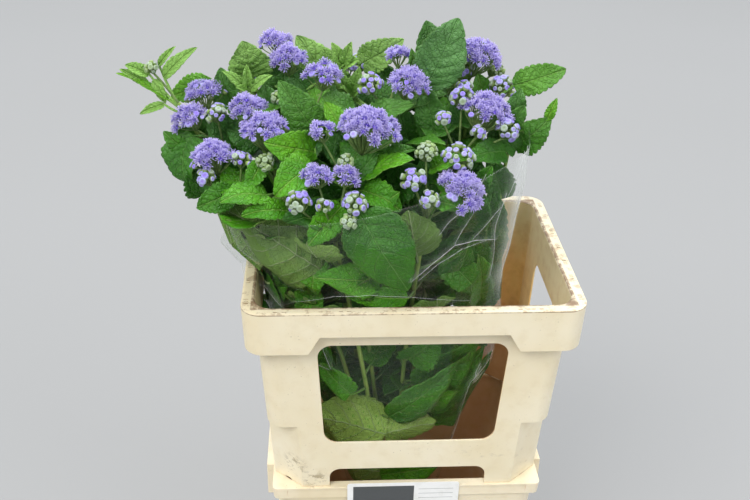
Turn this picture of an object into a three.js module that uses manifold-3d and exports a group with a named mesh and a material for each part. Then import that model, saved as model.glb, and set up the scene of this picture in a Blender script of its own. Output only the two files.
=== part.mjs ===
// A bunch of cut ageratum in a clear film sleeve, standing in a moulded flower bucket with a windowed collar.
// Millimetres, +Z up. The origin is the centre of the bucket's base, on the ground. The bucket's long side
// lies along X, and its labelled front faces -Y.

import * as THREE from "three";
import { mergeVertices } from "three/addons/utils/BufferGeometryUtils.js";
import Module from "manifold-3d";

const wasm = await Module();
wasm.setup();

// Clearance between pieces that touch
const GAP = 0.3;

// Bucket: half sizes are of the outside at the rim. A ledge inside the rim carries the collar's corners, and
// a hollow lug below the rim of each short side is a grip
const BUCKET_HALF_X = 174;
const BUCKET_HALF_Y = 125;
const BUCKET_RADIUS = 28;
const BUCKET_RIM_RADIUS = 7;
const BUCKET_TAPER = 0.07;
const BUCKET_WALL = 3;
const BUCKET_FLOOR = 4;
const BUCKET_RIM_HEIGHT = 18;
const BUCKET_RIM_DEPTH = 2.5;
const BUCKET_LEDGE = { halfX: 162, halfY: 112, thickness: 4 };
const BUCKET_LUG = { reach: 183, half: 78, footZ: 240, wall: 3 };
const WATER_TOP_Z = 55;

// Collar: half sizes are of the outside at the top of the band
const COLLAR_TOP_Z = 572;
const COLLAR_FOOT_Z = 290;
const COLLAR_HALF_X = 200;
const COLLAR_HALF_Y = 150;
const COLLAR_RADIUS = 24;
const COLLAR_WALL = 2.8;
const COLLAR_TAPER = 0.057;
const RIM_CHAMFER = 1.8;
const BAND_HEIGHT = 57;
const BAND_OVERHANG = 12.6;
const BAND_TAPER = 0.035;
const BAND_NOTCH = { halfTop: 110, halfFoot: 124, height: 25 };
const BAND_RIB = { thickness: 2.4, height: 45, pitch: 84 };
const PANEL_TOP_Z = 392;
const PANEL_HALF_X = 139;
const PANEL_HALF_Y = 94;

// Windows above and arches at the foot, in the long walls and in the short walls
const WINDOW = { footZ: 365, topZ: 518, radius: 18, longHalf: 114, shortHalf: 62, narrowing: 8 };
const ARCH = { topZ: 319.5, radius: 14, longHalf: 100, shortHalf: 50 };

// Label card glued to the bucket's front
const CARD = { width: 145, height: 105, thickness: 0.6, centreX: -5, topZ: 297 };

// Film sleeve: [z, centre x, centre y, half width, half depth] of its outside, from its open foot upwards
const FILM_THICKNESS = 0.6;
const SLEEVE_TOP_TILT = 44;
const SLEEVE_RINGS = [
  [165, -8, 0, 62, 50],
  [290, -10, -2, 88, 74],
  [365, -15, -5, 112, 92],
  [425, -22, -9, 144, 104],
  [500, -23.5, -11, 147.5, 110],
  [572, -32.3, -15, 152, 117],
  [608, -46, -18, 172, 125],
  [650, -50, -19, 180, 131],
  [698, -48, -19, 186, 137],
];

// The bunch: its axis leans to the left, it is drawn in at a waist and fans out above it
const BUNCH_TOP = new THREE.Vector3(-70, -20, 800);
const WAIST_Z = 250;
const WAIST_SPREAD = 0.2;
const FOOT_SPREAD = 0.06;
const FAN_CURVE = 1.4;
const STEM_FOOT_RADIUS = 3.4;
const STEM_TOP_RADIUS = 2.4;
const STEM_SIDES = 6;
const STEM_STEPS = 8;
const FORK_DROP = 42;
const BRANCH_RADIUS = 1.4;
const NODE_HEIGHT = 5;
const LOBE_RISE = { open: 0.6, bud: 0.8, green: 0.9 };
const BAND_Z = 215;
const BAND_THICKNESS = 2.4;

// Flower heads, one to a stem: the lobes of each, as [x, y, z, radius, state of the flowers]
const HEADS = {
  a: [[-145, 55, 800, 22, "open"], [-160, 80, 813, 18, "open"]],
  b: [[-101, 8, 797, 20, "open"], [-156, -10, 778, 9, "green"]],
  c: [[-244, 20, 771, 22, "open"], [-256, -15, 755, 19, "open"], [-224, -22, 763, 13, "bud"]],
  d: [[-190, -25, 769, 20, "open"]],
  e: [[-169, -58, 756, 27, "open"], [-168, -90, 733, 11, "green"]],
  f: [[-227, -72, 731, 24, "open"], [-233, -92, 715, 12, "bud"], [-194, -84, 733, 12, "bud"]],
  h: [[-54, -66, 760, 35, "open"], [-106, -68, 758, 14, "open"], [-79, -97, 736, 9, "green"]],
  i: [
    [-110, -110, 723, 15, "open"], [-80, -110, 724, 14, "open"], [-131, -128, 702, 15, "bud"],
    [-103, -132, 700, 10, "bud"], [-71, -133, 702, 15, "bud"], [-78, -146, 687, 10, "green"],
  ],
  j: [[-49, -6, 792, 15, "bud"], [-4, -2, 790, 23, "open"], [-12, 50, 806, 15, "open"]],
  k: [[82, 72, 798, 28, "bud"], [108, 80, 782, 13, "green"], [55, 75, 830, 8, "green"]],
  l: [[114, 44, 770, 17, "bud"], [64, 20, 780, 10, "bud"]],
  m: [
    [84, -22, 763, 30, "open"], [57, -10, 777, 16, "bud"], [32, -44, 765, 10, "bud"],
    [72, -50, 751, 10, "bud"], [109, -36, 748, 16, "bud"],
  ],
  n: [
    [48, -113, 707, 27, "open"], [46, -84, 734, 19, "bud"], [-5, -110, 720, 15, "bud"],
    [12, -126, 703, 12, "bud"], [10, -84, 741, 13, "green"],
  ],
  p: [[-296, -5, 812, 9, "green"]],
  q: [[-190, 95, 765, 24, "open"], [-215, 70, 755, 14, "bud"]],
  r: [[-85, 110, 770, 28, "open"], [-55, 95, 785, 14, "bud"]],
  s: [[25, 98, 768, 26, "open"], [48, 114, 748, 14, "bud"]],
};

// Main leaves: the stem that each grows from, the height of its joint, [x, y, z] of its tip,
// the width of its blade, how far its midrib bows, and the way its upper side faces
const LEAVES = [
  ["i", 585, [-214, -96, 688], 92, -10, "turned"],
  ["h", 684, [4, -134, 602], 78, 4, "forwards"],
  ["n", 600, [-12, -122, 690], 62, -8, "turned"],
  ["b", 712, [-165, -95, 748], 52, 12, "upwards"],
  ["b", 726, [-150, -20, 802], 44, 8, "forwards"],
  ["j", 742, [55, 40, 856], 54, 8, "forwards"],
  ["l", 716, [190, 38, 792], 46, 12, "upwards"],
  ["m", 700, [160, -8, 742], 42, 10, "upwards"],
  ["c", 706, [-272, -52, 700], 58, 16, "leftwards"],
  ["c", 711, [-285, 50, 776], 46, 12, "upwards"],
  ["a", 752, [-205, 82, 812], 56, 8, "forwards"],
  ["r", 722, [-8, 84, 822], 54, 8, "forwards"],
  ["r", 726, [-135, 84, 822], 46, 8, "forwards"],
  ["h", 690, [-4, -98, 738], 42, 12, "upwards"],
  ["j", 700, [32, -74, 746], 34, 10, "upwards"],
  ["f", 660, [-248, -105, 684], 44, 12, "forwards"],
  ["s", 696, [78, 84, 782], 54, 8, "backwards"],
  ["i", 352, [-94, -62, 350], 58, 0, "forwards"],
  ["q", 690, [-218, 120, 700], 66, 16, "upwards"],
  ["p", 765, [-334, -12, 808], 26, 6, "upwards"],
];
const FACINGS = {
  upwards: [0, -0.2, 1],
  forwards: [0, -1, 0.4],
  backwards: [0, 1, 0.4],
  turned: [0, 1, -0.3],
  leftwards: [-0.7, -0.8, 0.4],
};
const LEAF_THICKNESS = 0.8;
const LEAF_CUP = 0.12;
const PETIOLE_SHARE = 0.18;
const PETIOLE_HALF = 1.5;

const moulded = new THREE.MeshStandardMaterial({ color: 0xeadfc0, roughness: 0.5, metalness: 0 });
const card = new THREE.MeshStandardMaterial({ color: 0xf2f2f0, roughness: 0.6, metalness: 0 });
const film = new THREE.MeshStandardMaterial({ color: 0xdde4e6, roughness: 0.1, metalness: 0 });
const waterLook = new THREE.MeshStandardMaterial({ color: 0xb9cfc8, roughness: 0.05, metalness: 0 });
const rubber = new THREE.MeshStandardMaterial({ color: 0xb98a4a, roughness: 0.8, metalness: 0 });
const stemGreen = new THREE.MeshStandardMaterial({ color: 0x6f9440, roughness: 0.6, metalness: 0 });
const leafGreen = new THREE.MeshStandardMaterial({ color: 0x3c7832, roughness: 0.55, metalness: 0 });
const petalBlue = new THREE.MeshStandardMaterial({ color: 0x8c7de1, roughness: 0.8, metalness: 0 });

// A closed geometry as a solid that can be joined and cut
function solid(geometry) {
  geometry.deleteAttribute("normal");
  geometry.deleteAttribute("uv");
  const merged = mergeVertices(geometry, 1e-3);
  return new wasm.Manifold(
    new wasm.Mesh({
      numProp: 3,
      vertProperties: merged.attributes.position.array,
      triVerts: new Uint32Array(merged.index.array),
    }),
  );
}

function mesh(name, body, material) {
  const made = body.getMesh();
  const geometry = new THREE.BufferGeometry();
  geometry.setAttribute("position", new THREE.BufferAttribute(made.vertProperties, 3));
  geometry.setIndex(new THREE.BufferAttribute(made.triVerts, 1));
  geometry.computeVertexNormals();
  const piece = new THREE.Mesh(geometry, material);
  piece.name = name;
  return piece;
}

// Moves each vertex of a geometry to move(vertex)
function reshape(geometry, move) {
  const places = geometry.attributes.position;
  const vertex = new THREE.Vector3();
  for (let i = 0; i < places.count; i += 1) {
    const moved = move(vertex.fromBufferAttribute(places, i));
    places.setXYZ(i, moved.x, moved.y, moved.z);
  }
  return geometry;
}

function roundedRectangle(halfX, halfY, radius) {
  const shape = new THREE.Shape();
  const x = halfX - radius;
  const y = halfY - radius;
  shape.absarc(x, y, radius, 0, Math.PI / 2);
  shape.absarc(-x, y, radius, Math.PI / 2, Math.PI);
  shape.absarc(-x, -y, radius, Math.PI, 1.5 * Math.PI);
  shape.absarc(x, -y, radius, 1.5 * Math.PI, 2 * Math.PI);
  return shape;
}

// An upright block with rounded corners, of the given half sizes at its top, drawn in by taper for each
// millimetre below it
function taperedBlock(halfX, halfY, radius, footZ, topZ, taper) {
  const height = topZ - footZ;
  const block = new THREE.ExtrudeGeometry(roundedRectangle(halfX, halfY, radius), {
    depth: height,
    bevelEnabled: false,
    curveSegments: 4,
  });
  return drawnInBelow(block, halfX, halfY, footZ, height, taper);
}

// Narrows an upright block from its top down and lifts its foot to footZ
function drawnInBelow(block, halfX, halfY, footZ, height, taper) {
  reshape(block, (v) => {
    const drawnIn = taper * (height - v.z);
    v.x *= 1 - drawnIn / halfX;
    v.y *= 1 - drawnIn / halfY;
    v.z += footZ;
    return v;
  });
  return solid(block);
}

function box(low, high) {
  const geometry = new THREE.BoxGeometry(high[0] - low[0], high[1] - low[1], high[2] - low[2]);
  geometry.translate((low[0] + high[0]) / 2, (low[1] + high[1]) / 2, (low[2] + high[2]) / 2);
  return solid(geometry);
}

function bucket() {
  const topZ = COLLAR_FOOT_Z - GAP;
  const halfX = BUCKET_HALF_X - BUCKET_RIM_DEPTH;
  const halfY = BUCKET_HALF_Y - BUCKET_RIM_DEPTH;
  const rim = taperedBlock(
    BUCKET_HALF_X, BUCKET_HALF_Y, BUCKET_RIM_RADIUS, topZ - BUCKET_RIM_HEIGHT, topZ, BUCKET_TAPER,
  );
  const mouth = taperedBlock(
    BUCKET_LEDGE.halfX, BUCKET_LEDGE.halfY, BUCKET_RADIUS, topZ - 2 * BUCKET_LEDGE.thickness, topZ + 1, 0,
  );
  const { reach, half, footZ, wall } = BUCKET_LUG;
  let made = taperedBlock(halfX, halfY, BUCKET_RADIUS, 0, topZ, BUCKET_TAPER).add(rim);
  for (const side of [-1, 1]) {
    const across = [side * (halfX - BUCKET_WALL), side * reach].sort((a, b) => a - b);
    const hollow = [side * BUCKET_HALF_X, side * (reach - wall)].sort((a, b) => a - b);
    made = made.add(box([across[0], -half, footZ], [across[1], half, topZ]));
    made = made.subtract(box([hollow[0], wall - half, footZ - 1], [hollow[1], half - wall, topZ - wall]));
  }
  return made.subtract(bucketInside(topZ - BUCKET_LEDGE.thickness, 0)).subtract(mouth);
}

// The space inside the bucket's walls up to topZ, less a clearance all round
function bucketInside(topZ, clearance) {
  const drawnIn = BUCKET_TAPER * (COLLAR_FOOT_Z - GAP - topZ);
  const inset = BUCKET_RIM_DEPTH + BUCKET_WALL + clearance + drawnIn;
  return taperedBlock(
    BUCKET_HALF_X - inset, BUCKET_HALF_Y - inset, BUCKET_RADIUS - BUCKET_WALL,
    BUCKET_FLOOR + clearance, topZ, BUCKET_TAPER,
  );
}

// The collar's body at its outside face, or set in from it by inset: flat corners below, round ones above
function collarBody(inset, footZ, topZ) {
  const halfX = COLLAR_HALF_X - BAND_OVERHANG - inset;
  const halfY = COLLAR_HALF_Y - BAND_OVERHANG - inset;
  const atZ = (half, z) => half - COLLAR_TAPER * (COLLAR_TOP_Z - z);
  const lowTop = PANEL_TOP_Z + inset;
  const upper = taperedBlock(
    atZ(halfX, topZ), atZ(halfY, topZ), COLLAR_RADIUS - inset, lowTop, topZ, COLLAR_TAPER,
  );
  const x = atZ(halfX, lowTop);
  const y = atZ(halfY, lowTop);
  const lower = new THREE.ExtrudeGeometry(flatCorneredRectangle(x, y, inset), {
    depth: lowTop - footZ,
    bevelEnabled: false,
  });
  return upper.add(drawnInBelow(lower, x, y, footZ, lowTop - footZ, COLLAR_TAPER));
}

// A rectangle whose corners are cut off flat, between the front's panel and the side's, set in by inset
function flatCorneredRectangle(halfX, halfY, inset) {
  const facing = new THREE.Vector2(halfY + inset - PANEL_HALF_Y, halfX + inset - PANEL_HALF_X).normalize();
  const distance = facing.x * PANEL_HALF_X + facing.y * (halfY + inset) - inset;
  const x = (distance - facing.y * halfY) / facing.x;
  const y = (distance - facing.x * halfX) / facing.y;
  const shape = new THREE.Shape();
  shape.moveTo(halfX, y);
  for (const [px, py] of [[x, halfY], [-x, halfY], [-halfX, y], [-halfX, -y], [-x, -halfY], [x, -halfY]]) {
    shape.lineTo(px, py);
  }
  shape.lineTo(halfX, -y);
  shape.closePath();
  return shape;
}

// A cutter through two opposite walls: a rounded opening of the given half width at its top, narrower below
function wallCutter(half, narrowing, footZ, topZ, radius, alongX) {
  const reach = 2 * COLLAR_HALF_X + 100;
  const middle = (topZ + footZ) / 2;
  const height = topZ - footZ;
  const cutter = new THREE.ExtrudeGeometry(roundedRectangle(half, height / 2, radius), {
    depth: reach,
    bevelEnabled: false,
    curveSegments: 4,
  });
  reshape(cutter, (v) => {
    v.x *= 1 - (narrowing / half) * (0.5 - v.y / height);
    return v;
  });
  cutter.translate(0, 0, -reach / 2);
  cutter.rotateX(Math.PI / 2);
  if (alongX) cutter.rotateZ(Math.PI / 2);
  cutter.translate(0, 0, middle);
  return solid(cutter);
}

// Ribs that stiffen the hollow band from inside, along one pair of walls
function bandRibs(count, alongX) {
  const across = alongX ? COLLAR_HALF_X : COLLAR_HALF_Y;
  const outer = across - COLLAR_WALL - BAND_TAPER * BAND_HEIGHT;
  const inner = across - BAND_OVERHANG - 1 - COLLAR_TAPER * BAND_RIB.height;
  const ribs = [];
  for (let i = 0; i < count; i += 1) {
    const along = (i - (count - 1) / 2) * BAND_RIB.pitch;
    for (const side of [-1, 1]) {
      const low = [along - BAND_RIB.thickness / 2, Math.min(side * inner, side * outer)];
      const high = [along + BAND_RIB.thickness / 2, Math.max(side * inner, side * outer)];
      if (alongX) {
        low.reverse();
        high.reverse();
      }
      ribs.push(box([...low, COLLAR_TOP_Z - BAND_RIB.height], [...high, COLLAR_TOP_Z - 1]));
    }
  }
  return ribs;
}

// The part of the band's skirt that is cut away below the middle of each long side
function bandNotch() {
  const footZ = COLLAR_TOP_Z - BAND_HEIGHT - 1;
  const notch = new THREE.Shape();
  notch.moveTo(-BAND_NOTCH.halfFoot, footZ);
  notch.lineTo(BAND_NOTCH.halfFoot, footZ);
  notch.lineTo(BAND_NOTCH.halfTop, footZ + BAND_NOTCH.height);
  notch.lineTo(-BAND_NOTCH.halfTop, footZ + BAND_NOTCH.height);
  notch.closePath();
  const depth = 2 * COLLAR_HALF_Y + 20;
  const geometry = new THREE.ExtrudeGeometry(notch, { depth, bevelEnabled: false });
  geometry.translate(0, 0, -depth / 2);
  geometry.rotateX(Math.PI / 2);
  return solid(geometry);
}

function collar() {
  const bandFoot = COLLAR_TOP_Z - BAND_HEIGHT;
  const band = taperedBlock(
    COLLAR_HALF_X, COLLAR_HALF_Y, COLLAR_RADIUS, bandFoot, COLLAR_TOP_Z, BAND_TAPER,
  );
  const hollow = taperedBlock(
    COLLAR_HALF_X - COLLAR_WALL, COLLAR_HALF_Y - COLLAR_WALL, COLLAR_RADIUS - COLLAR_WALL,
    bandFoot - 1, COLLAR_TOP_Z - COLLAR_WALL, BAND_TAPER,
  );
  let made = band.subtract(hollow).subtract(bandNotch());
  for (const rib of [...bandRibs(4, false), ...bandRibs(3, true)]) {
    made = made.add(rib);
  }
  const chamferTop = COLLAR_TOP_Z + 1;
  const chamfer = taperedBlock(
    COLLAR_HALF_X - BAND_OVERHANG - COLLAR_WALL + RIM_CHAMFER + 1,
    COLLAR_HALF_Y - BAND_OVERHANG - COLLAR_WALL + RIM_CHAMFER + 1,
    COLLAR_RADIUS - COLLAR_WALL + RIM_CHAMFER,
    chamferTop - 2 * RIM_CHAMFER, chamferTop, 1,
  );
  made = made.add(collarBody(0, COLLAR_FOOT_Z, COLLAR_TOP_Z - 1));
  made = made.subtract(collarBody(COLLAR_WALL, COLLAR_FOOT_Z - 1, COLLAR_TOP_Z + 1)).subtract(chamfer);
  for (const [half, alongX] of [[WINDOW.longHalf, false], [WINDOW.shortHalf, true]]) {
    const narrowing = WINDOW.narrowing;
    made = made.subtract(wallCutter(half, narrowing, WINDOW.footZ, WINDOW.topZ, WINDOW.radius, alongX));
  }
  for (const [half, alongX] of [[ARCH.longHalf, false], [ARCH.shortHalf, true]]) {
    const footZ = COLLAR_FOOT_Z - 2 * ARCH.radius;
    made = made.subtract(wallCutter(half, 0, footZ, ARCH.topZ, ARCH.radius, alongX));
  }
  return made;
}

// The card leans with the bucket's tapered wall and lies against the rim
function labelCard() {
  const geometry = new THREE.BoxGeometry(CARD.width, CARD.thickness, CARD.height);
  const lean = Math.atan(BUCKET_TAPER);
  geometry.translate(0, -CARD.thickness / 2, -CARD.height / 2);
  geometry.rotateX(lean);
  const rimTop = COLLAR_FOOT_Z - GAP;
  const faceY = -BUCKET_HALF_Y - GAP - BUCKET_TAPER * (CARD.topZ - rimTop);
  geometry.translate(CARD.centreX, faceY, CARD.topZ);
  return solid(geometry);
}

// The sleeve's outline at angle turn on a ring, set out from it by offset; its two edges move out by grow
function sleevePoint(ring, turn, offset, grow) {
  const [z, centreX, centreY, halfX, halfY] = SLEEVE_RINGS[ring];
  const isTop = ring === SLEEVE_RINGS.length - 1;
  const edge = isTop ? grow + SLEEVE_TOP_TILT * Math.cos(turn) : 0;
  return new THREE.Vector3(
    centreX + (halfX + offset) * Math.cos(turn),
    centreY + (halfY + offset) * Math.sin(turn),
    z + edge - (ring === 0 ? grow : 0),
  );
}

function sleeve(grow) {
  const outer = SLEEVE_RINGS.map((_, k) => new THREE.Vector2(100 + grow, k));
  const inner = SLEEVE_RINGS.map((_, k) => new THREE.Vector2(100 - FILM_THICKNESS - grow, k)).reverse();
  const profile = [...outer, ...inner, outer[0]];
  const geometry = new THREE.LatheGeometry(profile, 24);
  return solid(
    reshape(geometry, (v) => {
      const turn = Math.atan2(v.z, v.x);
      return sleevePoint(Math.round(v.y), -turn, Math.hypot(v.x, v.z) - 100, grow);
    }),
  );
}

function bunchAxis(z) {
  return BUNCH_TOP.clone().multiplyScalar(z / BUNCH_TOP.z);
}

// How far the bunch has fanned out at a height, 1 at its top
function spread(z) {
  if (z < WAIST_Z) return WAIST_SPREAD + FOOT_SPREAD * (1 - z / WAIST_Z);
  const rise = (z - WAIST_Z) / (BUNCH_TOP.z - WAIST_Z);
  return WAIST_SPREAD + (1 - WAIST_SPREAD) * rise ** FAN_CURVE;
}

// The point below a head's lobes where its stem divides
function fork(name) {
  const lobes = HEADS[name];
  const middle = new THREE.Vector3();
  for (const [x, y, z] of lobes) middle.add(new THREE.Vector3(x, y, z));
  middle.divideScalar(lobes.length);
  const lowest = Math.min(...lobes.map((lobe) => lobe[2]));
  const inwards = bunchAxis(middle.z).sub(middle).multiplyScalar(0.12);
  return new THREE.Vector3(middle.x + inwards.x, middle.y + inwards.y, lowest - FORK_DROP);
}

// A stem's centre at a height: all stems keep their places in the bunch as it narrows, so none cross
function stemPoint(name, z) {
  const top = fork(name);
  const axis = bunchAxis(z);
  const share = spread(z) / spread(top.z);
  const across = top.clone().sub(bunchAxis(top.z)).multiplyScalar(share);
  return new THREE.Vector3(axis.x + across.x, axis.y + across.y, z);
}

function stemRadius(z) {
  return THREE.MathUtils.mapLinear(z, 0, BUNCH_TOP.z, STEM_FOOT_RADIUS, STEM_TOP_RADIUS);
}

function stem(name, grow) {
  const footZ = BUCKET_FLOOR + GAP;
  const topZ = fork(name).z;
  const geometry = new THREE.CylinderGeometry(1, 1, topZ - footZ, STEM_SIDES, STEM_STEPS);
  geometry.rotateX(Math.PI / 2);
  geometry.translate(0, 0, (topZ + footZ) / 2);
  return solid(
    reshape(geometry, (v) => {
      const centre = stemPoint(name, v.z);
      const radius = stemRadius(v.z) + grow;
      return new THREE.Vector3(centre.x + v.x * radius, centre.y + v.y * radius, v.z);
    }),
  );
}

// A tube between two points, closed at both ends
function rod(start, end, radius, sides) {
  const along = end.clone().sub(start);
  const geometry = new THREE.CylinderGeometry(radius, radius, along.length(), sides);
  geometry.translate(0, along.length() / 2, 0);
  const turn = new THREE.Quaternion().setFromUnitVectors(new THREE.Vector3(0, 1, 0), along.normalize());
  geometry.applyQuaternion(turn);
  geometry.translate(start.x, start.y, start.z);
  return solid(geometry);
}

// One lobe of a head: a domed cushion of flowers whose underside runs in to its stalk
function lobe(centre, from, radius, state, grow) {
  const r = radius + grow;
  const rise = LOBE_RISE[state] * r;
  const profile = [[0, -0.75 * r], [0.6 * r, -0.5 * r], [r, 0], [0.65 * r, 0.75 * rise], [0, rise]].map(
    ([across, up]) => new THREE.Vector2(across, up),
  );
  const geometry = new THREE.LatheGeometry(profile, radius > 16 ? 9 : 7);
  const up = centre.clone().sub(from).normalize().add(new THREE.Vector3(0, 0, 0.8)).normalize();
  geometry.applyQuaternion(new THREE.Quaternion().setFromUnitVectors(new THREE.Vector3(0, 1, 0), up));
  geometry.translate(centre.x, centre.y, centre.z);
  return solid(geometry);
}

function flowerHead(name, grow) {
  const root = fork(name);
  root.z += GAP - grow;
  let made = null;
  for (const [x, y, z, radius, state] of HEADS[name]) {
    const centre = new THREE.Vector3(x, y, z);
    const stalk = rod(root, centre, BRANCH_RADIUS + grow, 5);
    const part = lobe(centre, root, radius, state, grow).add(stalk);
    made = made ? made.add(part) : part;
  }
  const half = STEM_TOP_RADIUS + grow;
  const node = box(
    [root.x - half, root.y - half, root.z], [root.x + half, root.y + half, root.z + NODE_HEIGHT + 2 * grow],
  );
  const reach = 4 * NODE_HEIGHT;
  const below = box(
    [root.x - reach, root.y - reach, root.z - reach], [root.x + reach, root.y + reach, root.z],
  );
  return made.add(node).subtract(below);
}

// Half the width of a blade at share t of the leaf's length, from its joint to its tip
function leafHalf(t, width) {
  if (t < PETIOLE_SHARE) return PETIOLE_HALF;
  const along = (t - PETIOLE_SHARE) / (1 - PETIOLE_SHARE);
  return Math.max(PETIOLE_HALF, (width / 2) * Math.sin(Math.PI * along ** 0.72) ** 0.85);
}

function leaf([name, jointZ, tipPlace, width, bow, facingName], grow) {
  const tip = new THREE.Vector3(...tipPlace);
  const facing = new THREE.Vector3(...FACINGS[facingName]).normalize();
  const centre = stemPoint(name, jointZ);
  const outwards = new THREE.Vector3(tip.x - centre.x, tip.y - centre.y, 0).normalize();
  const joint = centre.clone().addScaledVector(outwards, stemRadius(jointZ) + 2 * GAP);
  const middle = joint.clone().lerp(tip, 0.5).addScaledVector(facing, 2 * bow);
  const midrib = new THREE.QuadraticBezierCurve3(joint, middle, tip);
  const geometry = new THREE.BoxGeometry(2, 1, 1, 2, 7, 1);
  return solid(
    reshape(geometry, (v) => {
      const t = v.y + 0.5;
      const along = midrib.getTangent(t);
      const across = along.clone().cross(facing).normalize();
      const face = across.clone().cross(along);
      const half = leafHalf(t, width) + grow;
      const lift = LEAF_CUP * half * v.x * v.x + v.z * (LEAF_THICKNESS + 2 * grow);
      return midrib.getPoint(t).addScaledVector(across, v.x * half).addScaledVector(face, lift);
    }),
  );
}

// A rubber ring stretched round the outermost stems
function elasticBand() {
  const radius = BAND_THICKNESS / 2;
  const centres = Object.keys(HEADS).map((name) => stemPoint(name, BAND_Z));
  const middle = bunchAxis(BAND_Z);
  const geometry = new THREE.TorusGeometry(100, radius, 5, 40);
  return solid(
    reshape(geometry, (v) => {
      const out = new THREE.Vector3(v.x, v.y, 0).normalize();
      const reach = (c) => c.clone().sub(middle).dot(out);
      const outermost = centres.reduce((a, b) => (reach(b) > reach(a) ? b : a));
      const offset = stemRadius(BAND_Z) + 2 * GAP + radius + Math.hypot(v.x, v.y) - 100;
      const place = outermost.clone().addScaledVector(out, offset);
      place.z = BAND_Z + v.z;
      return place;
    }),
  );
}

// Cuts a piece clear of everything placed before it and keeps its largest part
const placed = [];

function overlapping(a, b) {
  const one = a.boundingBox();
  const two = b.boundingBox();
  return [0, 1, 2].every((i) => one.min[i] < two.max[i] && two.min[i] < one.max[i]);
}

function place(piece, grown) {
  let made = piece;
  for (const other of placed) {
    if (overlapping(made, other)) made = made.subtract(other);
  }
  const parts = made.decompose().sort((a, b) => b.volume() - a.volume());
  placed.push(grown);
  return parts[0];
}

const group = new THREE.Group();

const bucketBody = bucket();
group.add(mesh("bucket", bucketBody, moulded));
const collarSolid = collar();
group.add(mesh("collar", collarSolid, moulded));
group.add(mesh("label_card", labelCard(), card));
placed.push(collarSolid);

const names = Object.keys(HEADS);
let water = bucketInside(WATER_TOP_Z, GAP);
names.forEach((name, i) => {
  group.add(mesh(`stem_${i + 1}`, place(stem(name, 0), stem(name, GAP)), stemGreen));
  water = water.subtract(stem(name, GAP));
});
group.add(mesh("water", water, waterLook));
group.add(mesh("elastic_band", place(elasticBand(), elasticBand()), rubber));

group.add(mesh("film_sleeve", place(sleeve(0), sleeve(GAP)), film));
names.forEach((name, i) => {
  group.add(mesh(`flower_head_${i + 1}`, place(flowerHead(name, 0), flowerHead(name, GAP)), petalBlue));
});
LEAVES.forEach((row, i) => {
  group.add(mesh(`leaf_${i + 1}`, place(leaf(row, 0), leaf(row, GAP)), leafGreen));
});

export default group;
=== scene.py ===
# A bunch of cut ageratum in a clear film sleeve, standing in a moulded flower bucket with a windowed collar.
# Metres, +Z up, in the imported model's frame: the long sides lie along X, and the card faces -Y.
import math
import random

import bmesh
import bpy
import numpy as np
from mathutils import Matrix, Vector, noise


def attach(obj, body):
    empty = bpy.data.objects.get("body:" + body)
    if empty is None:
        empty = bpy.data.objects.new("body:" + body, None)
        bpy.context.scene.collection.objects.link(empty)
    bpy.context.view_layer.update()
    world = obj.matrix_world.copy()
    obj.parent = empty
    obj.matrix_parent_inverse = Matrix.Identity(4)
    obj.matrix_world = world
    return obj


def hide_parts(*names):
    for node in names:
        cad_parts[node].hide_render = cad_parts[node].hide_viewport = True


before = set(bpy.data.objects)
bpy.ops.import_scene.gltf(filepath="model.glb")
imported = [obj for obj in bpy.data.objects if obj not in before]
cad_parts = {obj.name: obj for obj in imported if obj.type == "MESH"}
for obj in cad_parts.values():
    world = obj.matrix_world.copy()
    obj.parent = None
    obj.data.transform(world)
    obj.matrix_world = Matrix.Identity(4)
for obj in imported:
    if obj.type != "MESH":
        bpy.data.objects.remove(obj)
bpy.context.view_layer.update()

# ----------------------------------------------------------------------
# The bucket: one injection moulding of cream polypropylene, a tapered box with round corners, a thin floor
# and a shallow rim that the collar stands on. Years of washing and stacking have scuffed and stained it; the
# brown inside is partly that stain and partly painted shade and glow of light through the plastic.
# ----------------------------------------------------------------------
MM = 0.001
BUCKET_HALF_X = 174 * MM
BUCKET_HALF_Y = 125 * MM
BUCKET_TOP = 289.7 * MM
BUCKET_RADIUS = 28 * MM
BUCKET_RIM_RADIUS = 7 * MM
BUCKET_TAPER = 0.07
BUCKET_WALL = 3 * MM
BUCKET_FLOOR = 4 * MM
BUCKET_RIM_HEIGHT = 18 * MM
BUCKET_RIM_DEPTH = 2.5 * MM
LEDGE_HALF_X = 162 * MM
LEDGE_HALF_Y = 112 * MM
LEDGE_THICKNESS = 4 * MM
LUG_REACH = 183 * MM
LUG_HALF = 78 * MM
LUG_FOOT = 240 * MM
LUG_WALL = 3 * MM
PANEL_INSET_HALF = 155 * MM
PANEL_INSET_TOP = 286 * MM
PANEL_INSET_DEPTH = 1.2 * MM
EDGE_ROUND = 0.6 * MM
EDGE_ANGLE = math.radians(32)
WELD = 0.02 * MM
CORNER_STEPS = 9
RIM_GRIME_Z = 571.4 * MM
SCUFFED_SPAN = (460 * MM, 300 * MM)
# Heights where the inside turns orange and then darker brown: partly real stain, partly painted shade and
# glow of light through the plastic
INSIDE_GLOW_SPAN = (565 * MM, 460 * MM)
INSIDE_DARK_SPAN = (440 * MM, 350 * MM)
INNER_EDGE_X = (189.2 * MM, 187.8 * MM)
INNER_EDGE_Y = (139.2 * MM, 137.8 * MM)
STAIN_AND_SHADE_INSIDE = 0.8
STAIN_AND_SHADE_OUTSIDE = 0.05

# Rough patches at the collar's front left corner: the middle of each and how far it spreads, in metres
SCRAPES = (((-0.146, -0.118, 0.322), 0.024), ((-0.118, -0.122, 0.302), 0.02))


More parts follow.
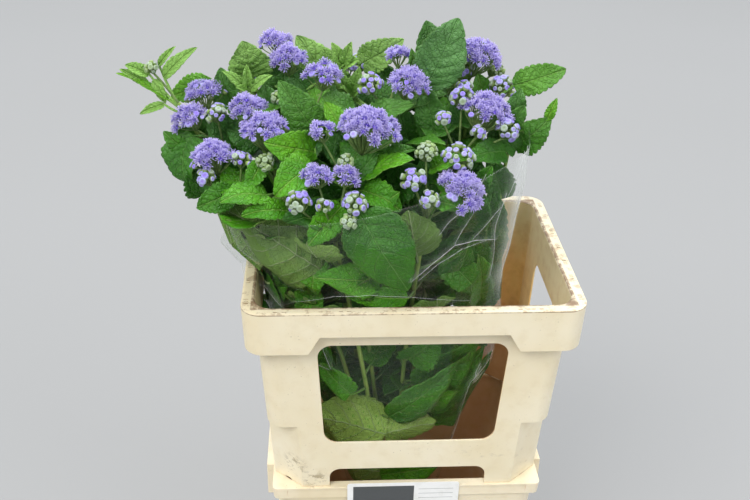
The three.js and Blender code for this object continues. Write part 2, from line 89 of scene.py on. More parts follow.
class Wire:
    """A socket in a node tree. Arithmetic on it adds Math nodes, and node() adds any other."""

    def __init__(self, tree, socket=None):
        self.tree = tree
        self.socket = socket

    def node(self, kind, settings=None, sockets=None, out=0):
        made = self.tree.nodes.new(kind)
        for key, value in (settings or {}).items():
            setattr(made, key, value)
        for key, value in (sockets or {}).items():
            if isinstance(value, Wire):
                self.tree.links.new(value.socket, made.inputs[key])
            else:
                made.inputs[key].default_value = value
        return Wire(self.tree, made.outputs[out])

    def also(self, name):
        return Wire(self.tree, self.socket.node.outputs[name])

    def maths(self, operation, first, second=0.0):
        return self.node("ShaderNodeMath", {"operation": operation}, {0: first, 1: second})

    def __add__(self, other):
        return self.maths("ADD", self, other)

    def __sub__(self, other):
        return self.maths("SUBTRACT", self, other)

    def __mul__(self, other):
        return self.maths("MULTIPLY", self, other)

    def __truediv__(self, other):
        return self.maths("DIVIDE", self, other)

    def __pow__(self, other):
        return self.maths("POWER", self, other)

    def __rsub__(self, other):
        return self.maths("SUBTRACT", other, self)

    def __abs__(self):
        return self.maths("ABSOLUTE", self)

    __radd__ = __add__
    __rmul__ = __mul__

    def most(self, other):
        return self.maths("MAXIMUM", self, other)

    def least(self, other):
        return self.maths("MINIMUM", self, other)

    def fraction(self):
        return self.maths("FRACT", self)

    def between(self, low, high):
        """A soft step, from 0 at low to 1 at high, which may be the smaller of the two."""
        span = {"Value": self, "From Min": low, "From Max": high}
        return self.node("ShaderNodeMapRange", {"interpolation_type": "SMOOTHSTEP"}, span)

    def mix(self, first, second):
        """The first colour where this value is 0 and the second where it is 1."""
        return self.node("ShaderNodeMix", {"data_type": "RGBA"}, {0: self, 6: first, 7: second}, out=2)

    def grain(self, scale, detail, roughness=0.55, stretch=None):
        """Soft noise at this place, finer with a larger scale."""
        where = self
        if stretch:
            sockets = {0: self, 1: stretch}
            where = self.node("ShaderNodeVectorMath", {"operation": "MULTIPLY"}, sockets)
        sockets = {"Vector": where, "Scale": scale, "Detail": detail, "Roughness": roughness}
        return self.node("ShaderNodeTexNoise", {}, sockets)

    def attribute(self, name):
        """A value that the piece's mesh carries, for its finish."""
        return self.node("ShaderNodeAttribute", {"attribute_name": name}, out="Fac")

    def carried(self, name, kind):
        """The same in a Geometry Nodes tree."""
        return self.node("GeometryNodeInputNamedAttribute", {"data_type": kind}, {"Name": name})

    def place(self):
        return self.node("ShaderNodeTexCoord", out="Object")

    def height(self):
        return self.node("ShaderNodeSeparateXYZ", {}, {0: self}).also("Z")

    def bump(self, distance, strength):
        return self.node("ShaderNodeBump", {}, {"Height": self, "Distance": distance, "Strength": strength})

    def principled(self, sockets):
        return self.node("ShaderNodeBsdfPrincipled", {}, sockets)

    def shown(self):
        output = self.tree.nodes.new("ShaderNodeOutputMaterial")
        self.tree.links.new(self.socket, output.inputs["Surface"])


def paint(red, green, blue):
    """A screen colour, 0 to 255, as the linear colour that a shader takes."""
    parts = [channel / 255 for channel in (red, green, blue)]
    linear = [c / 12.92 if c < 0.04045 else ((c + 0.055) / 1.055) ** 2.4 for c in parts]
    return (*linear, 1.0)


def new_finish(name):
    made = bpy.data.materials.new(name)
    made.use_nodes = True
    made.node_tree.nodes.clear()
    return made, Wire(made.node_tree)


def moulded_plastic(name):
    """Cream polypropylene: mottled, scuffed and specked, and brown where the wet side is, partly real stain
    and partly painted shade and orange glow of light through the plastic.
    """
    made, start = new_finish(name)
    place = start.place()
    apart = place.node("ShaderNodeSeparateXYZ", {}, {0: place})
    height = apart.also("Z")
    stain = start.attribute("stain")
    broad = place.grain(7, 3)
    mottle = place.grain(55, 5, 0.6)
    scuff = place.grain(26, 6, 0.75, stretch=(1.0, 1.0, 1.9)).between(0.6, 0.74)
    speck = place.grain(420, 2, 0.5).between(0.72, 0.76)
    colour = broad.between(0.35, 0.68).mix(paint(242, 231, 204), paint(234, 220, 186))
    colour = (mottle.between(0.45, 0.7) * 0.3).mix(colour, paint(222, 205, 168))
    low = height.between(*SCUFFED_SPAN) * scuff * 0.42
    colour = low.mix(colour, paint(163, 150, 132))
    colour = (speck * 0.55).mix(colour, paint(120, 98, 70))
    # The inside's orange-brown, darker lower down: partly real stain, partly painted shade and glow of light
    # through the plastic
    inside_glow_and_stain = height.between(*INSIDE_GLOW_SPAN).mix(paint(230, 208, 156), paint(255, 202, 118))
    inside_glow_and_stain = (height.between(*INSIDE_DARK_SPAN) * 0.75).mix(inside_glow_and_stain, paint(180, 118, 76))
    inside_glow_and_stain = (mottle.between(0.4, 0.7) * 0.3).mix(inside_glow_and_stain, paint(196, 146, 92))
    stain_and_shade_share = (stain * (0.75 + 0.3 * mottle)).least(0.97)
    colour = stain_and_shade_share.mix(colour, inside_glow_and_stain)
    # Dark brown in the rim's slots
    colour = (stain.between(1.1, 1.3) * 0.85).mix(colour, paint(112, 72, 46))
    scrape = place.grain(46, 6, 0.8, stretch=(1.0, 1.0, 1.6))
    for spot, size in SCRAPES:
        sockets = {0: place, 1: spot}
        away = place.node("ShaderNodeVectorMath", {"operation": "DISTANCE"}, sockets, out="Value")
        patch = away.between(size, size * 0.3) * scrape.between(0.5, 0.55)
        colour = (patch * 0.8).mix(colour, paint(168, 152, 120))
    grime = place.grain(70, 5, 0.75)
    rim = height.between(RIM_GRIME_Z - 0.2 * MM, RIM_GRIME_Z + 0.2 * MM)
    rim = rim * (0.2 + 0.8 * grime.between(0.52, 0.6))
    colour = (rim * 0.55).mix(colour, paint(150, 120, 86))
    within = abs(apart.also("X")).between(*INNER_EDGE_X) * abs(apart.also("Y")).between(*INNER_EDGE_Y)
    inner_edge = height.between(RIM_GRIME_Z - 0.9 * MM, RIM_GRIME_Z - 0.4 * MM) * within
    inner_edge = inner_edge * (0.25 + 0.75 * grime.between(0.4, 0.52))
    colour = (inner_edge * 0.75).mix(colour, paint(112, 80, 54))
    lip = height.between(RIM_GRIME_Z - 1.8 * MM, RIM_GRIME_Z - MM)
    lip = lip * height.between(RIM_GRIME_Z + 0.3 * MM, RIM_GRIME_Z - 0.3 * MM)
    colour = (lip * (0.3 + 0.7 * grime.between(0.42, 0.56)) * 0.7).mix(colour, paint(122, 90, 62))
    relief = 0.5 * place.grain(1500, 2) + 0.4 * mottle + scuff
    gloss = 0.36 + 0.16 * mottle + 0.18 * scuff + 0.12 * stain
    sockets = {
        "Base Color": colour,
        "Roughness": gloss,
        "Normal": relief.bump(0.00012, 0.6),
        "Specular IOR Level": 0.42,
        "Subsurface Weight": 0.08,
        "Subsurface Radius": (0.006, 0.0045, 0.0025),
        "Subsurface Scale": 1.0,
    }
    start.principled(sockets).shown()
    return made


def new_piece(name, places, faces):
    mesh = bpy.data.meshes.new(name)
    mesh.from_pydata(places, [], faces)
    made = bpy.data.objects.new(name, mesh)
    bpy.context.scene.collection.objects.link(made)
    return made


def settled(piece):
    """Turns what a piece's modifiers make into its own mesh."""
    bpy.context.view_layer.update()
    shape = piece.evaluated_get(bpy.context.evaluated_depsgraph_get())
    mesh = bpy.data.meshes.new_from_object(shape)
    piece.modifiers.clear()
    piece.data = mesh
    mesh.name = piece.name
    return piece


def joined(piece, other, operation="UNION"):
    """Adds one closed solid to another, or takes it away, and uses it up."""
    step = piece.modifiers.new("step", "BOOLEAN")
    step.solver = "EXACT"
    step.operation = operation
    step.object = other
    settled(piece)
    bpy.data.objects.remove(other)
    return piece


def rounded_outline(half_x, half_y, radius, steps=CORNER_STEPS):
    points = []
    for corner, (side_x, side_y) in enumerate([(1, 1), (-1, 1), (-1, -1), (1, -1)]):
        for k in range(steps + 1):
            turn = math.pi / 2 * (corner + k / steps)
            x = side_x * (half_x - radius) + radius * math.cos(turn)
            y = side_y * (half_y - radius) + radius * math.sin(turn)
            points.append((x, y))
    return points


def prism(low, high, name="prism"):
    """A closed block between two outlines that run anticlockwise as seen from the high end."""
    count = len(low)
    sides = [(k, (k + 1) % count, count + (k + 1) % count, count + k) for k in range(count)]
    ends = [tuple(reversed(range(count))), tuple(range(count, 2 * count))]
    return new_piece(name, [*low, *high], sides + ends)


def tapered_block(half_x, half_y, radius, foot, top, taper):
    """An upright block with round corners, sized at its top and drawn in by taper below it."""
    drawn_in = taper * (top - foot)
    outline = rounded_outline(half_x, half_y, radius)
    low = [(x * (1 - drawn_in / half_x), y * (1 - drawn_in / half_y), foot) for x, y in outline]
    high = [(x, y, top) for x, y in outline]
    return prism(low, high)


def smoothed(piece):
    piece.data.polygons.foreach_set("use_smooth", [True] * len(piece.data.polygons))


def finished(piece, finish):
    piece.data.materials.clear()
    piece.data.materials.append(finish)


def eased(piece):
    """Rounds a moulding's edges a little and smooths its shading."""
    shape = bmesh.new()
    shape.from_mesh(piece.data)
    bmesh.ops.remove_doubles(shape, verts=shape.verts, dist=WELD)
    shape.to_mesh(piece.data)
    shape.free()
    bevel = piece.modifiers.new("bevel", "BEVEL")
    bevel.width = EDGE_ROUND
    bevel.segments = 2
    bevel.limit_method = "ANGLE"
    bevel.angle_limit = EDGE_ANGLE
    bevel.use_clamp_overlap = False
    bevel.miter_outer = "MITER_ARC"
    settled(piece)
    smoothed(piece)
    smooth = piece.modifiers.new("smooth", "WEIGHTED_NORMAL")
    smooth.mode = "FACE_AREA"
    smooth.keep_sharp = False
    return settled(piece)


def faces_in(middle, facing, limit):
    """Whether a face at a wall looks towards the middle of the moulding."""
    return facing.x * middle.x + facing.y * middle.y < -limit


def mark_stain_and_shade(piece, rule):
    """Writes how far each face takes the brown of stain and painted shade, by a rule on its middle and its
    normal.
    """
    layer = piece.data.attributes.new("stain", "FLOAT", "FACE")
    layer.data.foreach_set("value", [rule(face.center, face.normal) for face in piece.data.polygons])


def cut(piece, other):
    return joined(piece, other, "DIFFERENCE")


def slab(low, high):
    """A block with square corners, from its lowest corner to its highest."""
    flat = [(low[0], low[1]), (high[0], low[1]), (high[0], high[1]), (low[0], high[1])]
    return prism([(x, y, low[2]) for x, y in flat], [(x, y, high[2]) for x, y in flat])


bucket_plastic = moulded_plastic("bucket_plastic_finish")
body_half_x = BUCKET_HALF_X - BUCKET_RIM_DEPTH
body_half_y = BUCKET_HALF_Y - BUCKET_RIM_DEPTH
bucket = tapered_block(body_half_x, body_half_y, BUCKET_RADIUS, 0, BUCKET_TOP, BUCKET_TAPER)
bucket.name = "flower_bucket"
rim_foot = BUCKET_TOP - BUCKET_RIM_HEIGHT
joined(bucket, tapered_block(
    BUCKET_HALF_X, BUCKET_HALF_Y, BUCKET_RIM_RADIUS, rim_foot, BUCKET_TOP, BUCKET_TAPER,
))
for side in (-1, 1):
    near, far = sorted((side * (body_half_x - BUCKET_WALL), side * LUG_REACH))
    joined(bucket, slab((near, -LUG_HALF, LUG_FOOT), (far, LUG_HALF, BUCKET_TOP)))
    near, far = sorted((side * BUCKET_HALF_X, side * (LUG_REACH - LUG_WALL)))
    half = LUG_HALF - LUG_WALL
    cut(bucket, slab((near, -half, LUG_FOOT - MM), (far, half, BUCKET_TOP - LUG_WALL)))
for side in (-1, 1):
    near, far = sorted((side * (BUCKET_HALF_Y - PANEL_INSET_DEPTH), side * (BUCKET_HALF_Y + MM)))
    low = (-PANEL_INSET_HALF, near, rim_foot - 2 * MM)
    cut(bucket, slab(low, (PANEL_INSET_HALF, far, PANEL_INSET_TOP)))
ledge_foot = BUCKET_TOP - LEDGE_THICKNESS
inset = BUCKET_WALL + BUCKET_TAPER * LEDGE_THICKNESS
cut(bucket, tapered_block(
    body_half_x - inset, body_half_y - inset, BUCKET_RADIUS - BUCKET_WALL,
    BUCKET_FLOOR, ledge_foot, BUCKET_TAPER,
))
cut(bucket, tapered_block(
    LEDGE_HALF_X, LEDGE_HALF_Y, BUCKET_RADIUS, ledge_foot - LEDGE_THICKNESS, BUCKET_TOP + MM, 0,
))
eased(bucket)
# The bucket's inside faces take the brown of stain and painted shade
mark_stain_and_shade(bucket, lambda middle, facing: STAIN_AND_SHADE_INSIDE if faces_in(middle, facing, 0.01) else STAIN_AND_SHADE_OUTSIDE)
finished(bucket, bucket_plastic)
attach(bucket, "root")
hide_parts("bucket")

# ----------------------------------------------------------------------
# The water: a few centimetres of tap water in the bucket, slightly clouded and green from the stems.
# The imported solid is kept, and takes a clear, faintly moving surface.
# ----------------------------------------------------------------------
water_finish, start = new_finish("standing_water")
place = start.place()
cloud = place.grain(14, 3)
ripple = place.grain(60, 2)
sockets = {
    "Base Color": cloud.mix(paint(205, 222, 200), paint(168, 190, 150)),
    "Roughness": 0.02 + 0.05 * cloud,
    "Normal": ripple.bump(0.0004, 0.4),
    "IOR": 1.33,
    "Transmission Weight": 0.85,
}
start.principled(sockets).shown()
finished(bpy.data.objects["water"], water_finish)

# ----------------------------------------------------------------------
# The collar: a second moulding that stands on the bucket's rim and keeps tall stems upright. A hollow band
# with ribs in it stiffens the top. Each wall has a window and an arch, and the lower corners are cut flat.
# ----------------------------------------------------------------------
COLLAR_TOP = 572 * MM
COLLAR_FOOT = 290 * MM
COLLAR_HALF_X = 200 * MM
COLLAR_HALF_Y = 150 * MM
COLLAR_RADIUS = 24 * MM
COLLAR_WALL = 2.8 * MM
COLLAR_TAPER = 0.057
RIM_CHAMFER = 1.8 * MM
BAND_HEIGHT = 57 * MM
BAND_OVERHANG = 12.6 * MM
BAND_TAPER = 0.035
NOTCH_HALF_TOP = 110 * MM
NOTCH_HALF_FOOT = 124 * MM
NOTCH_HEIGHT = 25 * MM
RIB_THICKNESS = 2.4 * MM
RIB_HEIGHT = 32 * MM
RIB_PITCH = 84 * MM
PANEL_TOP = 392 * MM
PANEL_HALF_X = 139 * MM
PANEL_HALF_Y = 94 * MM
WINDOW_FOOT = 365 * MM
WINDOW_TOP = 518 * MM
WINDOW_HALVES = (114 * MM, 62 * MM)
WINDOW_RADIUS = 18 * MM
WINDOW_NARROWING = 8 * MM
ARCH_TOP = 319.5 * MM
ARCH_HALVES = (100 * MM, 50 * MM)
ARCH_RADIUS = 14 * MM
CUTTER_REACH = 260 * MM
SLOT_LENGTH = 5 * MM
SLOT_WIDTH = 1.8 * MM
SLOT_DEPTH = 1.2 * MM
SLIT_PLACE = Vector((155.6, 107.6, 0)) * MM
SLIT_WAY = Vector((32, -27, 0))
SLIT_HALF = 7 * MM
SLIT_HEIGHT = 2.2 * MM
SLIT_OUTLINE = ((-1, -1), (1, -1), (1, 0.1), (0.45, 0.9), (-0.3, 1.0), (-1, 0.1))
SLIT_REACH = 6 * MM
SLOT_DARK = 1.4
STAIN_AND_SHADE_FRONT_Y = -90 * MM
STAIN_AND_SHADE_RUN = 160 * MM


def flat_cornered_outline(half_x, half_y, inset):
    """A rectangle with its corners cut off flat between the front's panel and the side's."""
    facing = Vector((half_y + inset - PANEL_HALF_Y, half_x + inset - PANEL_HALF_X)).normalized()
    distance = facing.x * PANEL_HALF_X + facing.y * (half_y + inset) - inset
    x = (distance - facing.y * half_y) / facing.x
    y = (distance - facing.x * half_x) / facing.y
    return [
        (half_x, y), (x, half_y), (-x, half_y), (-half_x, y),
        (-half_x, -y), (-x, -half_y), (x, -half_y), (half_x, -y),
    ]


def collar_body(inset, foot, top):
    """The collar's tapered body, at its outside or set in from it: flat corners below, round ones above."""
    half_x = COLLAR_HALF_X - BAND_OVERHANG - inset
    half_y = COLLAR_HALF_Y - BAND_OVERHANG - inset
    panel_top = PANEL_TOP + inset
    drop_top = COLLAR_TAPER * (COLLAR_TOP - top)
    drop_panel = COLLAR_TAPER * (COLLAR_TOP - panel_top)
    low_x = half_x - drop_panel
    low_y = half_y - drop_panel
    radius = COLLAR_RADIUS - inset
    body = tapered_block(half_x - drop_top, half_y - drop_top, radius, panel_top, top, COLLAR_TAPER)
    high = flat_cornered_outline(low_x, low_y, inset)
    drawn_in = COLLAR_TAPER * (panel_top - foot)
    low = [(x * (1 - drawn_in / low_x), y * (1 - drawn_in / low_y), foot) for x, y in high]
    return joined(body, prism(low, [(x, y, panel_top) for x, y in high]))


def wall_cutter(half, narrowing, foot, top, radius, along_x):
    """A rounded opening through two opposite walls, narrower at its foot."""
    middle = (top + foot) / 2
    height = top - foot
    ends = []
    for side in (1, -1):
        ring = []
        for x, z in rounded_outline(half, height / 2, radius):
            across = x * (1 - (narrowing / half) * (0.5 - z / height))
            reach = side * CUTTER_REACH
            ring.append((reach, across, middle + z) if along_x else (across, reach, middle + z))
        ends.append(ring)
    if along_x:
        ends.reverse()
    return prism(*ends)


def growing_tree(name, sizes):
    """A Geometry Nodes tree with one named input for each size, and the start of its wires."""
    tree = bpy.data.node_groups.new(name, "GeometryNodeTree")
    tree.interface.new_socket("Geometry", in_out="INPUT", socket_type="NodeSocketGeometry")
    for label, default in sizes.items():
        socket = tree.interface.new_socket(label, in_out="INPUT", socket_type="NodeSocketFloat")
        socket.default_value = default
    tree.interface.new_socket("Finish", in_out="INPUT", socket_type="NodeSocketMaterial")
    tree.interface.new_socket("Geometry", in_out="OUTPUT", socket_type="NodeSocketGeometry")
    return tree, Wire(tree, tree.nodes.new("NodeGroupInput").outputs["Geometry"])


def tree_ends(wire, entry):
    """Closes a tree: real geometry, with the finish set, goes to its output."""
    real = wire.node("GeometryNodeRealizeInstances", {}, {0: wire})
    done = real.node("GeometryNodeSetMaterial", {}, {"Geometry": real, "Material": entry.also("Finish")})
    last = done.tree.nodes.new("NodeGroupOutput")
    done.tree.links.new(done.socket, last.inputs["Geometry"])


def grown(piece, tree, finish, sizes=None):
    """Runs a tree on a piece with the given sizes and keeps the result as the piece's own mesh."""
    step = piece.modifiers.new("grow", "NODES")
    step.node_group = tree
    given = {**(sizes or {}), "Finish": finish}
    for item in tree.interface.items_tree:
        if item.in_out == "INPUT" and item.name in given:
            step[item.identifier] = given[item.name]
    return settled(piece)


def carry(piece, name, kind, values):
    """Writes one value a point on a piece, as an attribute."""
    layer = piece.data.attributes.new(name, kind, "POINT")
    key = "vector" if kind == "FLOAT_VECTOR" else "value"
    layer.data.foreach_set(key, np.asarray(values, dtype=float).ravel())


# Slots in the rim's top, as the middle of each in millimetres: pairs on the long walls, threes on the short
line_x, line_y = 194.2, 144.4
slot_middles = []
for x in (-155, -104, -81, -30, -3.6, 48, 73, 124, 139):
    slot_middles += [(x + step, y) for y in (-line_y, line_y) for step in (-4.6, 4.6)]
for y in (-120, -74, -38, 4, 42, 86, 120):
    slot_middles += [(x, y + step) for x in (line_x, -line_x) for step in (-4.4, 0, 4.4)]

slot_sizes = {"Length": SLOT_LENGTH, "Width": SLOT_WIDTH, "Depth": SLOT_DEPTH}
slot_tree, entry = growing_tree("rim_slots", slot_sizes)
size = entry.node("ShaderNodeCombineXYZ", {}, {
    "X": entry.also("Length"), "Y": entry.also("Width"), "Z": entry.also("Depth") * 2.0,
})
block = size.node("GeometryNodeMeshCube", {}, {"Size": size})
placed = block.node("GeometryNodeInstanceOnPoints", {}, {"Points": entry, "Instance": block})
tree_ends(placed, entry)

collar_plastic = moulded_plastic("collar_plastic_finish")
band_foot = COLLAR_TOP - BAND_HEIGHT
collar = tapered_block(COLLAR_HALF_X, COLLAR_HALF_Y, COLLAR_RADIUS, band_foot, COLLAR_TOP, BAND_TAPER)
collar.name = "flower_collar"
cut(collar, tapered_block(
    COLLAR_HALF_X - COLLAR_WALL, COLLAR_HALF_Y - COLLAR_WALL, COLLAR_RADIUS - COLLAR_WALL,
    band_foot - MM, COLLAR_TOP - COLLAR_WALL, BAND_TAPER,
))
notch_foot = band_foot - MM
notch_top = notch_foot + NOTCH_HEIGHT
notch_line = [
    (-NOTCH_HALF_FOOT, notch_foot), (NOTCH_HALF_FOOT, notch_foot),
    (NOTCH_HALF_TOP, notch_top), (-NOTCH_HALF_TOP, notch_top),
]
cut(collar, prism(
    [(x, COLLAR_HALF_X, z) for x, z in notch_line], [(x, -COLLAR_HALF_X, z) for x, z in notch_line],
))
for count, along_x in ((4, False), (3, True)):
    across = COLLAR_HALF_X if along_x else COLLAR_HALF_Y
    outer = across - COLLAR_WALL - BAND_TAPER * BAND_HEIGHT
    inner = across - BAND_OVERHANG - MM - COLLAR_TAPER * RIB_HEIGHT
    for k in range(count):
        middle = (k - (count - 1) / 2) * RIB_PITCH
        for side in (-1, 1):
            low = [middle - RIB_THICKNESS / 2, min(side * inner, side * outer)]
            high = [middle + RIB_THICKNESS / 2, max(side * inner, side * outer)]
            if along_x:
                low.reverse()
                high.reverse()
            joined(collar, slab((*low, COLLAR_TOP - RIB_HEIGHT), (*high, COLLAR_TOP - MM)))
joined(collar, collar_body(0, COLLAR_FOOT, COLLAR_TOP - MM))
cut(collar, collar_body(COLLAR_WALL, COLLAR_FOOT - MM, COLLAR_TOP + MM))
chamfer_top = COLLAR_TOP + MM
chamfer_inset = BAND_OVERHANG + COLLAR_WALL - RIM_CHAMFER - MM
cut(collar, tapered_block(
    COLLAR_HALF_X - chamfer_inset, COLLAR_HALF_Y - chamfer_inset, COLLAR_RADIUS - COLLAR_WALL + RIM_CHAMFER,
    chamfer_top - 2 * RIM_CHAMFER, chamfer_top, 1,
))
for half, along_x in zip(WINDOW_HALVES, (False, True)):
    cut(collar, wall_cutter(half, WINDOW_NARROWING, WINDOW_FOOT, WINDOW_TOP, WINDOW_RADIUS, along_x))
for half, along_x in zip(ARCH_HALVES, (False, True)):
    cut(collar, wall_cutter(half, 0, COLLAR_FOOT - 2 * ARCH_RADIUS, ARCH_TOP, ARCH_RADIUS, along_x))
for side_x in (-1, 1):
    for side_y in (-1, 1):
        middle = Vector((side_x * SLIT_PLACE.x, side_y * SLIT_PLACE.y, COLLAR_FOOT))
        along = Vector((side_x * SLIT_WAY.x, side_y * SLIT_WAY.y, 0)).normalized()
        across = Vector((along.y, -along.x, 0)) * side_x * side_y
        ends = []
        for reach in (-SLIT_REACH, SLIT_REACH):
            ring = []
            for t, h in SLIT_OUTLINE:
                ring.append(middle + across * reach + along * SLIT_HALF * t + Vector((0, 0, h * SLIT_HEIGHT)))
            ends.append(ring)
        cut(collar, prism(*ends))
eased(collar)
slots = new_piece("slots", [(x * MM, y * MM, COLLAR_TOP) for x, y in slot_middles], [])
cut(collar, grown(slots, slot_tree, collar_plastic))


def collar_stain_and_shade(middle, facing):
    """Brown inside, partly real stain and partly painted shade and glow of light through the plastic, most at
    the back of the side walls; dark brown in the slots; clean outside.
    """
    if middle.z > RIM_GRIME_Z - SLOT_DEPTH:
        in_slot = middle.z < RIM_GRIME_Z and (abs(facing.z) < 0.5 or facing.z > 0.9)
        return SLOT_DARK if in_slot else 0.0
    if not faces_in(middle, facing, 0.02):
        return 0.0
    # More brown towards the back: partly real stain, partly painted shade and glow of light through the
    # plastic
    return 0.5 + 0.5 * min(1.0, max(0.0, (middle.y - STAIN_AND_SHADE_FRONT_Y) / STAIN_AND_SHADE_RUN))


mark_stain_and_shade(collar, collar_stain_and_shade)
finished(collar, collar_plastic)
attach(collar, "root")
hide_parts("collar")

# ----------------------------------------------------------------------
# The card: a coated paper label glued to the bucket's front, leaning with its wall. It carries a plain dark
# panel and empty ruled lines to write on.
# ----------------------------------------------------------------------
CARD_WIDTH = 145 * MM
CARD_HEIGHT = 105 * MM
CARD_THICKNESS = 0.6 * MM
CARD_CENTRE_X = -5 * MM
CARD_TOP = 297 * MM
CARD_RADIUS = 4 * MM
CARD_CORNER_STEPS = 5
CARD_GLUE = 0.3 * MM
CARD_FACE_Y = -BUCKET_HALF_Y - CARD_GLUE - BUCKET_TAPER * (CARD_TOP - BUCKET_TOP)
PRINT_EDGE = 0.3 * MM
PANEL_SPAN = ((-65.1 * MM, 14.2 * MM), (-45.1 * MM, 47.2 * MM))
RULED_SPAN = ((19.9 * MM, 65.2 * MM), (-40.1 * MM, 45.2 * MM))
RULE_PITCH = 8 * MM

card_paper, start = new_finish("card_paper")
flat = start.node("ShaderNodeUVMap", {"uv_map": "card"})
apart = flat.node("ShaderNodeSeparateXYZ", {}, {0: flat})
across = apart.also("X")
up = apart.also("Y")


def printed(span):
    """1 within a rectangle on the card, given as its spans across and up."""
    (left, right), (low, high) = span
    sides = across.between(left, left + PRINT_EDGE) * across.between(right, right - PRINT_EDGE)
    return sides * up.between(low, low + PRINT_EDGE) * up.between(high, high - PRINT_EDGE)


panel = printed(PANEL_SPAN)
pitch = (up / RULE_PITCH).fraction()
ruling = pitch.between(0.04, 0.05) * pitch.between(0.13, 0.12) * printed(RULED_SPAN)
place = start.place()
fibre = place.grain(2600, 3)
wear = place.grain(40, 4, 0.7)
colour = wear.between(0.4, 0.75).mix(paint(246, 246, 244), paint(233, 233, 228))
colour = (panel * (0.94 + 0.05 * fibre)).mix(colour, paint(62, 66, 68))
colour = (ruling * 0.8).mix(colour, paint(120, 124, 126))
sockets = {
    "Base Color": colour,
    "Roughness": 0.38 + 0.2 * wear - 0.08 * panel,
    "Normal": fibre.bump(0.00003, 0.5),
}
start.principled(sockets).shown()

lean = Matrix.Rotation(math.atan(BUCKET_TAPER), 4, "X")
outline = rounded_outline(CARD_WIDTH / 2, CARD_HEIGHT / 2, CARD_RADIUS, CARD_CORNER_STEPS)
card_rings = []
for depth in (0, -CARD_THICKNESS):
    ring = []
    for x, z in outline:
        place = lean @ Vector((x, depth, z - CARD_HEIGHT / 2))
        ring.append((CARD_CENTRE_X + place.x, CARD_FACE_Y + place.y, CARD_TOP + place.z))
    card_rings.append(ring)
card = prism(*card_rings, name="ruled_card")
layer = card.data.uv_layers.new(name="card")
for loop in card.data.loops:
    layer.data[loop.index].uv = outline[loop.vertex_index % len(outline)]
finished(card, card_paper)
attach(card, "root")
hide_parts("label_card")

# ----------------------------------------------------------------------
# The flowering stems: seventeen soft, hairy, pale green stems cut to one length. They stand in the water,
# are drawn in at a waist by the rubber ring, and fan out above it, so no two cross.
# ----------------------------------------------------------------------
BUNCH_TOP = Vector((-70, -20, 800)) * MM
WAIST_Z = 250 * MM
WAIST_SPREAD = 0.2
FOOT_SPREAD = 0.06
FAN_CURVE = 1.4
STEM_FOOT_RADIUS = 3.4 * MM
STEM_TOP_RADIUS = 2.4 * MM
FORK_DROP = 42 * MM
FORK_LEAN = 0.12
STEM_STEPS = 56
STEM_DARK_SPAN = (500 * MM, 150 * MM)
JOINTS = 13
JOINT_HALF = 4 * MM

# One row a head, in the order of the stems: the lobes of each as x, y, z, radius in millimetres and bloom
HEADS = {
    "a": [(-145, 55, 800, 22, "open"), (-160, 80, 813, 18, "open")],
    "b": [(-101, 8, 797, 20, "open"), (-156, -10, 778, 9, "green")],
    "c": [(-244, 20, 771, 22, "open"), (-256, -15, 755, 19, "open"), (-224, -22, 763, 13, "bud")],
    "d": [(-190, -25, 769, 20, "open")],
    "e": [(-169, -58, 756, 27, "open"), (-168, -90, 733, 11, "green")],
    "f": [(-227, -72, 731, 24, "open"), (-233, -92, 715, 12, "bud"), (-194, -84, 733, 12, "bud")],
    "h": [(-54, -66, 760, 35, "open"), (-106, -68, 758, 14, "open"), (-79, -97, 736, 9, "green")],
    "i": [
        (-110, -110, 723, 15, "open"), (-80, -110, 724, 14, "open"), (-131, -128, 702, 15, "bud"),
        (-103, -132, 700, 10, "bud"), (-71, -133, 702, 15, "bud"), (-78, -146, 687, 10, "green"),
    ],
    "j": [(-49, -6, 792, 15, "bud"), (-4, -2, 790, 23, "open"), (-12, 50, 806, 15, "open")],
    "k": [
        (84, 72, 800, 30, "open"), (66, 70, 786, 15, "bud"), (108, 80, 782, 13, "green"),
        (55, 75, 830, 8, "green"),
    ],
    "l": [(114, 44, 770, 17, "bud"), (64, 20, 780, 10, "bud")],
    "m": [
        (84, -22, 763, 30, "open"), (57, -10, 777, 16, "bud"), (32, -44, 765, 10, "bud"),
        (72, -50, 751, 10, "bud"), (109, -36, 748, 16, "bud"),
    ],
    "n": [
        (48, -113, 707, 27, "open"), (46, -84, 734, 19, "bud"), (-5, -110, 720, 15, "bud"),
        (12, -126, 703, 12, "bud"), (10, -84, 741, 13, "green"),
    ],
    "p": [(-296, -5, 812, 9, "green")],
    "q": [(-190, 95, 765, 24, "open"), (-215, 70, 755, 14, "bud")],
    "r": [(-85, 110, 770, 28, "open"), (-55, 95, 785, 14, "bud")],
    "s": [(25, 98, 768, 26, "open"), (48, 114, 748, 14, "bud")],
}


def bunch_axis(z):
    return BUNCH_TOP * (z / BUNCH_TOP.z)


def spread(z):
    """How far the bunch has fanned out at a height, 1 at its top."""
    if z < WAIST_Z:
        return WAIST_SPREAD + FOOT_SPREAD * (1 - z / WAIST_Z)
    rise = (z - WAIST_Z) / (BUNCH_TOP.z - WAIST_Z)
    return WAIST_SPREAD + (1 - WAIST_SPREAD) * rise ** FAN_CURVE


def fork(name):
    """Where a stem divides below the lobes of its head."""
    lobes = [Vector(row[:3]) * MM for row in HEADS[name]]
    middle = sum(lobes, Vector()) / len(lobes)
    inwards = (bunch_axis(middle.z) - middle) * FORK_LEAN
    lowest = min(lobe.z for lobe in lobes)
    return Vector((middle.x + inwards.x, middle.y + inwards.y, lowest - FORK_DROP))


def stem_point(name, z):
    top = fork(name)
    axis = bunch_axis(z)
    share = spread(z) / spread(top.z)
    across = (top - bunch_axis(top.z)) * share
    return Vector((axis.x + across.x, axis.y + across.y, z))


def stem_radius(z):
    return STEM_FOOT_RADIUS + (STEM_TOP_RADIUS - STEM_FOOT_RADIUS) * z / BUNCH_TOP.z


